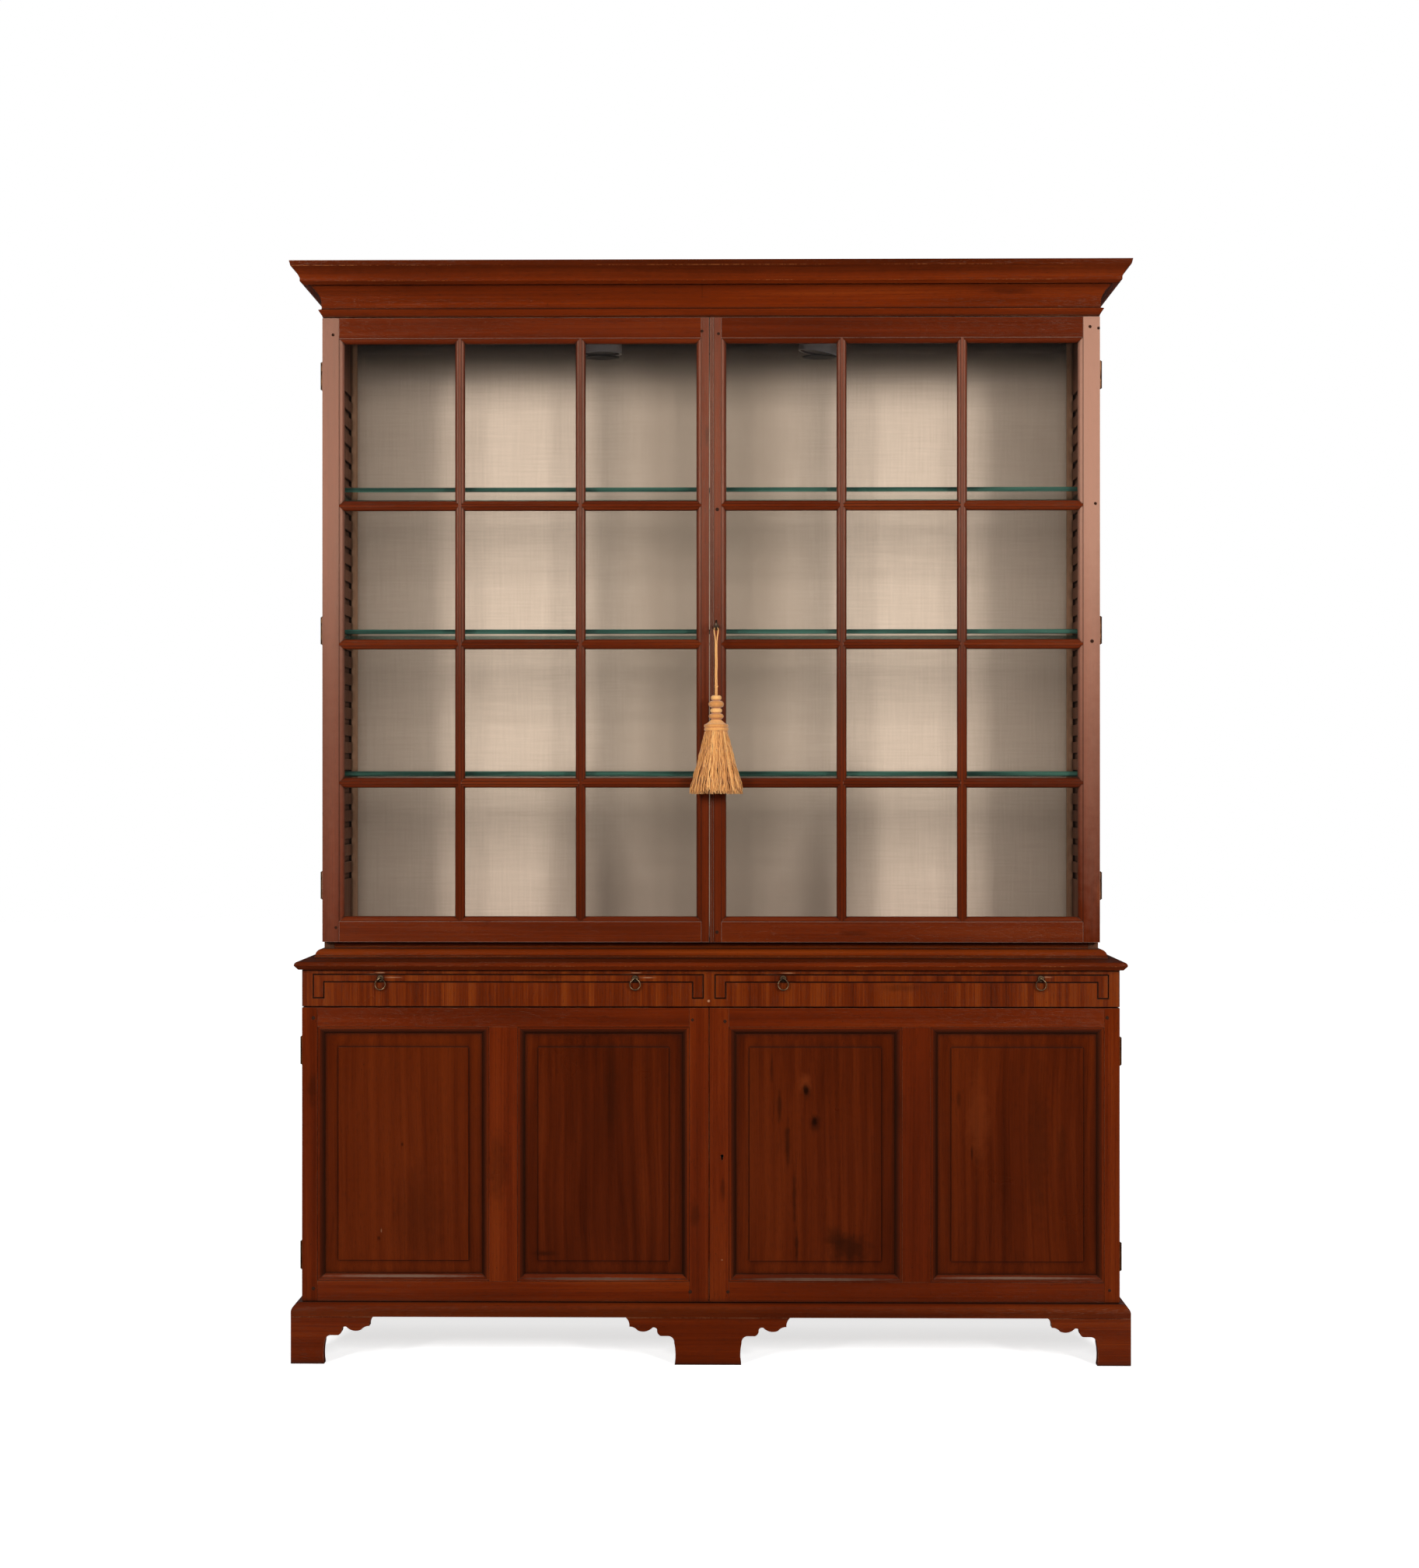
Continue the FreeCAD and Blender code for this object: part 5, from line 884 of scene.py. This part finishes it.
def stretchLining(setup):
    low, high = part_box("linen_lining")
    mesh = bmesh.new()
    across = int((high.x - low.x) / setup["step"])
    up = int((high.z - low.z) / setup["step"])
    rows = []
    for row in range(up + 1):
        z = low.z + (high.z - low.z) * row / up
        line = []
        for column in range(across + 1):
            x = low.x + (high.x - low.x) * column / across
            edge = min(x - low.x, high.x - x, z - low.z, high.z - z)
            swell = 0.5 + noise.noise(Vector((x * 4, 7.0, z * 3)))
            line.append(mesh.verts.new((x, low.y + setup["hollow"] * swell * min(1.0, edge / setup["heldEdge"]), z)))
        rows.append(line)
    for lower, upper in zip(rows, rows[1:]):
        for place in range(across):
            mesh.faces.new((lower[place], lower[place + 1], upper[place + 1], upper[place]))
    for item in bmesh.ops.extrude_face_region(mesh, geom=mesh.faces[:])["geom"]:
        if isinstance(item, bmesh.types.BMVert):
            item.co.y = high.y
    bmesh.ops.recalc_face_normals(mesh, faces=mesh.faces)
    for face in mesh.faces:
        face.smooth = abs(face.normal.y) > 0.9
    lining = fitPiece(placeMesh(mesh, "linenLining", makeLinen(setup)), "case", ["linen_lining"])


stretchLining(liningSetup)
print("lining stretched")

# the key's tassel: a doubled cord, four beads, a wound band and a skirt of yarn
tasselSetup = {
    "place": (0.013, -0.17225),
    "rimHeight": 1.5945,
    "cordRadius": 0.00135,
    "cordRoute": [  # millimetres aside and above the bow's rim
        (-1.5, -143.9), (-1.2, -120.0), (-1.9, -96.0), (-1.0, -74.0), (-1.8, -48.0), (-1.5, -22.0), (-4.4, -5.0),
        (-4.3, 4.2), (4.3, 4.2), (4.4, -5.0), (1.5, -22.0), (1.2, -48.0), (2.0, -74.0), (1.1, -96.0), (1.8, -120.0),
        (1.5, -143.9),
    ],
    "cordLength": 0.3008,
    "beadTop": 1.4506,
    "beadBore": 0.0052,
    "beadCore": 0.0080,
    "beads": [(0.0, 0.205, 0.0116, 0.95, 0.62), (0.21, 0.315, 0.0170, 0.50, 0.9), (0.53, 0.205, 0.0130, 1.0, 0.62),
              (0.74, 0.26, 0.0164, 0.52, 0.9)],  # start, height, radius, tone, pointedness
    "knotHeight": 1.4705,
    "knotThread": 0.0011,
    "bandRadius": 0.02725,
    "strands": 360,
    "strandRadius": 0.00112,
    "crinkle": 0.0008,
    "straw": (0.63, 0.275, 0.074),
    "pale": (0.83, 0.49, 0.185),
    "deep": (0.33, 0.115, 0.026),
}


def makeYarn(setup, name, lift):
    material, tree, shader = newMaterial(name)
    fluff = grainNoise(objectPlace(tree), (600.0, 600.0, 160.0), 3.0, 0.6)[0]
    tone = plus(attribute(tree, "strandTone")["Fac"], lift)
    shade = plus(tone, times(minus(fluff, 0.5), 0.7))
    colour = tint(spread(shade, 0.0, 0.5), setup["deep"], setup["straw"])
    fill(shader, {
        "Base Color": tint(spread(shade, 0.5, 1.1), colour, setup["pale"]),
        "Roughness": 0.78, "Specular IOR Level": 0.25, "Sheen Weight": 0.3,
    })
    addBump(shader, 0.0003, fluff, 0.7)
    return material


yarn = makeYarn(tasselSetup, "strawYarn", 0.0)
cordYarn = makeYarn(tasselSetup, "cordYarn", 0.72)
beadYarn = makeYarn(tasselSetup, "beadYarn", -0.20)


def hangCord(setup):
    x, y = setup["place"]
    data = bpy.data.curves.new("keyCord", "CURVE")
    data.dimensions = "3D"
    line = data.splines.new("NURBS")
    line.points.add(len(setup["cordRoute"]) - 1)
    for point, (side, drop) in zip(line.points, setup["cordRoute"]):
        point.co = (x + side / 1000, y, setup["rimHeight"] + drop / 1000, 1.0)
    line.order_u = 3
    line.use_endpoint_u = True
    line.resolution_u = 12
    data.bevel_depth = setup["cordRadius"]
    data.bevel_resolution = 3
    data.materials.append(cordYarn)
    return fitPiece(placeObject("keyCord", data), "tassel_cord", ["tassel_cord"])


def turnBeads(setup):
    low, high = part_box("tassel_beads")
    x, y = setup["place"]
    height = high.z - low.z
    mesh = bmesh.new()
    steps, bore = 10, setup["beadBore"]
    for start, tall, radius, tone, pointed in setup["beads"]:
        rings = []
        for step in range(steps + 1):
            turn = math.pi * step / steps
            reach = bore + (radius - bore) * math.sin(turn) ** pointed
            z = high.z - height * (start + tall * (0.5 - 0.5 * math.cos(turn)))
            rings.append(fluted(x, y, z, reach, 40, 0.00018, 26, z * 900))
        sweep(mesh, rings, True, tone)
    core = [circle(x, y, z, setup["beadCore"], setup["beadCore"], 16) for z in (high.z - 0.0030, low.z + 0.0005)]
    sweep(mesh, core, True, 0.15)
    return finishPiece(mesh, "tasselBeads", beadYarn, "tassel", ["tassel_beads"])


# one roll of the wound band
def windRoll(mesh, spot, middle, lean, layer, bandRadius):
    loops = []
    for turn in range(97):
        around = math.tau * turn / 96
        section = []
        for corner in range(12):
            wrap = math.tau * corner / 12
            thick = 0.0042 + 0.0006 * math.sin(wrap * 2 + lean * 44 * around)
            reach = bandRadius - 0.0048 + thick * math.cos(wrap) + 0.0005 * math.sin(5 * around + layer)
            section.append((spot[0] + reach * math.cos(around), spot[1] + reach * math.sin(around),
                            middle + thick * math.sin(wrap)))
        loops.append(section)
    sweep(mesh, loops, False, 0.4 + 0.15 * layer)


def hangSkirt(setup):
    low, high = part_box("tassel_skirt")
    x, y = setup["place"]
    chance = random.Random(31)
    mesh = bmesh.new()
    bandTop, skirtTop, fall = high.z - 0.0102, high.z - 0.0235, high.z - 0.0255 - low.z
    halfWide, halfDeep, bandRadius = (high.x - low.x) / 2, (high.y - low.y) / 2, setup["bandRadius"]
    rings = []  # gathered neck, pleated finely
    for step in range(7):
        share = step / 6
        z = high.z - (high.z - bandTop + 0.002) * share
        rings.append(fluted(x, y, z, 0.0105 + (bandRadius - 0.0125) * share ** 1.3, 88, 0.0007, 22))
    sweep(mesh, rings, True, 0.65)
    for layer, (offset, lean) in enumerate(((0.0, 1), (0.0072, -1))):
        windRoll(mesh, (x, y), bandTop - 0.0040 - offset, lean, layer, bandRadius)
    core = []  # what fills the skirt inside
    for share in (0.0, 0.25, 0.5, 0.75, 0.96):
        grown = share ** 1.25
        wide, deep = 0.020 + (halfWide - 0.029) * grown, 0.020 + (halfDeep - 0.027) * grown
        core.append(circle(x, y, skirtTop - fall * share, wide, deep, 32))
    sweep(mesh, core, True, 0.12)
    steps, narrow, margin = 18, bandRadius - 0.003, 0.0016
    for strand in range(setup["strands"]):
        angle = math.tau * (strand + chance.uniform(-0.4, 0.4)) * 0.618034
        depth = 1.0 - 0.22 * chance.random() ** 2
        length = 1.0 - 0.09 * chance.random() ** 2
        sway = [chance.uniform(-1, 1) for _ in range(4)]
        tone = min(1.0, max(0.0, chance.gauss(0.52, 0.22)))
        rings = []
        for step in range(steps):
            share = step / (steps - 1)
            bulge = share ** 1.02
            wide = narrow * (1 - bulge) + (halfWide - margin) * bulge
            deep = narrow * (1 - bulge) + (halfDeep - margin) * bulge
            turn = angle + 0.05 * share * sway[0] + 0.05 * math.sin(7 * share + 3 * sway[1]) * share
            kink = setup["crinkle"] * min(1.0, share * 5) * math.sin(share * (34 + 12 * sway[1]) + 9 * sway[2])
            reach = depth - 0.02 * (1 - share)
            centre = Vector((
                x + wide * reach * math.cos(turn) + 0.0022 * share * math.sin(9 * share + 5 * sway[2]) + kink,
                y + max(-1.0, min(1.0, reach * math.sin(turn))) * deep,
                skirtTop - fall * share * length,
            ))
            centre.x = min(max(centre.x, low.x + 0.0015), high.x - 0.0015)
            radius = setup["strandRadius"] * (1.0 + 0.15 * math.sin(40 * share + 6 * sway[3]))
            radius *= 0.8 if step == steps - 1 else 1.0
            rings.append(circle(*centre, radius, radius, 5, share * 5))
        sweep(mesh, rings, True, tone)
    return finishPiece(mesh, "tasselSkirt", yarn, "tassel", ["tassel_skirt"])


def tieKnot(setup):
    x, y = setup["place"]
    mesh = bmesh.new()
    centre, thick = Vector((x, y, setup["knotHeight"])), setup["knotThread"]
    wraps = [math.tau * side / 6 for side in range(6)]
    loops = []
    for turn in range(73):
        around = math.tau * turn / 72
        wide, deep = (reach + 0.0010 * math.cos(3 * around) for reach in (0.0022, 0.0020))
        lift = 0.0021 * math.sin(3 * around)
        spot = centre + Vector((wide * math.cos(2 * around), deep * math.sin(2 * around), lift))
        loops.append([(spot.x + thick * math.cos(wrap), spot.y + thick * math.sin(wrap) * math.sin(around),
                       spot.z + thick * math.sin(wrap)) for wrap in wraps])
    sweep(mesh, loops, False, 0.7)
    return finishPiece(mesh, "cordKnot", yarn, "tassel_cord", ())


keyCord = hangCord(tasselSetup)
hangSkirt(tasselSetup)
tasselPieces = [turnBeads(tasselSetup), tieKnot(tasselSetup)]
print("tassel hung")

# oak pegs through the joints
pegSetup = {
    "radius": 0.0036,
    "proud": 0.0004,
    "colour": (0.020, 0.007, 0.004),
    "ringColour": (0.035, 0.012, 0.005),
    "upperLeft": [(427.3, 429.4), (902.7, 425.6), (431, 1193)],
    "upperRight": [(924, 429), (1401, 421), (1412, 423), (922.5, 655), (1408, 648), (1403.5, 824.7), (922, 1198.5)],
    "lowerLeft": [(402.4, 1309.5), (891, 1311.4), (402.4, 1658), (888, 1661)],
    "lowerRight": [(932.8, 1313.3), (1423.4, 1308), (936.6, 1661), (1426.5, 1658)],
}


pegWood = makeMottled("pegEndGrain", (900.0, 2.0), (pegSetup["colour"], pegSetup["ringColour"]),
                      {"Roughness": 0.75, "Specular IOR Level": 0.06})


def drivePegs(setup, corner, face):
    pieceName = corner + "Pegs"
    chance = random.Random(pieceName)
    mesh = bmesh.new()
    for spot in setup[corner]:
        x, z = fromPicture(spot, upperFace - face)
        radius, proud = setup["radius"] * chance.uniform(0.85, 1.15), setup["proud"]
        rings = []
        for share, y in ((1, face + 0.0015), (1, face - 0.0001), (0.8, face - proud), (0.3, face - proud * 1.3)):
            reach, turns = radius * share, [math.tau * side / 9 for side in range(9)]
            rings.append([(x + reach * math.cos(turn), y, z + reach * math.sin(turn)) for turn in turns])
        sweep(mesh, rings, True)
    body = corner.replace("L", "_l").replace("R", "_r") + "_door"
    finishPiece(mesh, pieceName, pegWood, body, (), False)


for corner in ("upperLeft", "upperRight"):
    drivePegs(pegSetup, corner, upperFace)
for corner in ("lowerLeft", "lowerRight"):
    drivePegs(pegSetup, corner, lowerFace)
print("pegs driven")

# pale floor, white surround, two soft lamps beside the camera and one overhead
studioSetup = {
    "floorColour": (0.80, 0.80, 0.80),
    "floorGlow": 0.70,
    "surroundFill": 0.08,
    "roomRings": [(0.01, 0.0004), (6.6, 0.0004), (6.6, 5.2), (0.01, 5.2)],
    "roomGlow": 0.04,
    "lamps": [
        {"name": "leftLamp", "place": (-3.2, -4.4, 2.8), "aim": (0, 0, 1.3), "size": (0.8, 1.6), "power": 196},
        {"name": "rightLamp", "place": (3.1, -4.4, 2.8), "aim": (0, 0, 1.3), "size": (0.8, 1.6), "power": 208},
        {"name": "topLamp", "place": (0, -2.2, 4.6), "aim": (0, 0, 1.0), "size": (3.0, 2.0), "power": 10},
        {"name": "backLamp", "place": (0, 5.0, 2.9), "aim": (0, 0, 1.2), "size": (2.4, 1.6), "power": 60},
    ],
}


# whether a ray comes straight from the camera, off a polished face or through glass
def seenDirectly(tree):
    path = wire(tree, "ShaderNodeLightPath").outputs
    mirrored = plus(path["Is Camera Ray"], path["Is Glossy Ray"])
    return calc("ADD", mirrored, path["Is Transmission Ray"], True)


def makeFloor(setup):
    mesh = bmesh.new()
    bmesh.ops.create_grid(mesh, x_segments=8, y_segments=8, size=14)
    bmesh.ops.translate(mesh, verts=mesh.verts, vec=(0, 0, -0.0002))
    material, tree, shader = newMaterial("studioFloor")
    glow = spread(lengthOf(objectPlace(tree)), 1.2, 3.4, setup["floorGlow"], 1.0)
    fill(shader, {
        "Base Color": setup["floorColour"] + (1.0,), "Roughness": 0.9, "Specular IOR Level": 0.0,
        "Emission Color": (1, 1, 1, 1), "Emission Strength": times(seenDirectly(tree), glow),
    })
    placeMesh(mesh, "studioFloor", material)


def makeSurround(setup):
    world = bpy.data.worlds.new("studioSurround")
    bpy.context.scene.world = world
    world.use_nodes = True
    tree = world.node_tree
    strength = spread(seenDirectly(tree), 0.0, 1.0, setup["surroundFill"], 1.0)
    fill(tree.nodes["Background"], {"Color": (1, 1, 1, 1), "Strength": strength})


# the unlit room that polish and glass mirror, out of the camera's sight
def makeDarkRoom(setup):
    mesh = bmesh.new()
    sweep(mesh, [circle(0, 0, z, reach, reach, 48) for reach, z in setup["roomRings"]])
    material, tree, shader = newMaterial("darkRoom")
    fill(shader, {
        "Base Color": (0.0, 0.0, 0.0, 1.0), "Specular IOR Level": 0.0,
        "Emission Color": (1, 0.97, 0.94, 1), "Emission Strength": setup["roomGlow"],
    })
    room = placeMesh(mesh, "darkRoom", material)
    room.visible_camera = room.visible_diffuse = room.visible_transmission = room.visible_shadow = False


def hangLamps(setup):
    for lamp in setup["lamps"]:
        light = bpy.data.lights.new(lamp["name"], "AREA")
        light.shape = "RECTANGLE"
        light.size, light.size_y = lamp["size"]
        light.energy = lamp["power"]
        holder = placeObject(lamp["name"], light)
        holder.location = lamp["place"]
        holder.rotation_euler = (Vector(lamp["aim"]) - Vector(lamp["place"])).to_track_quat("-Z", "Y").to_euler()


makeFloor(studioSetup)
makeSurround(studioSetup)
makeDarkRoom(studioSetup)
hangLamps(studioSetup)
print("studio lit")
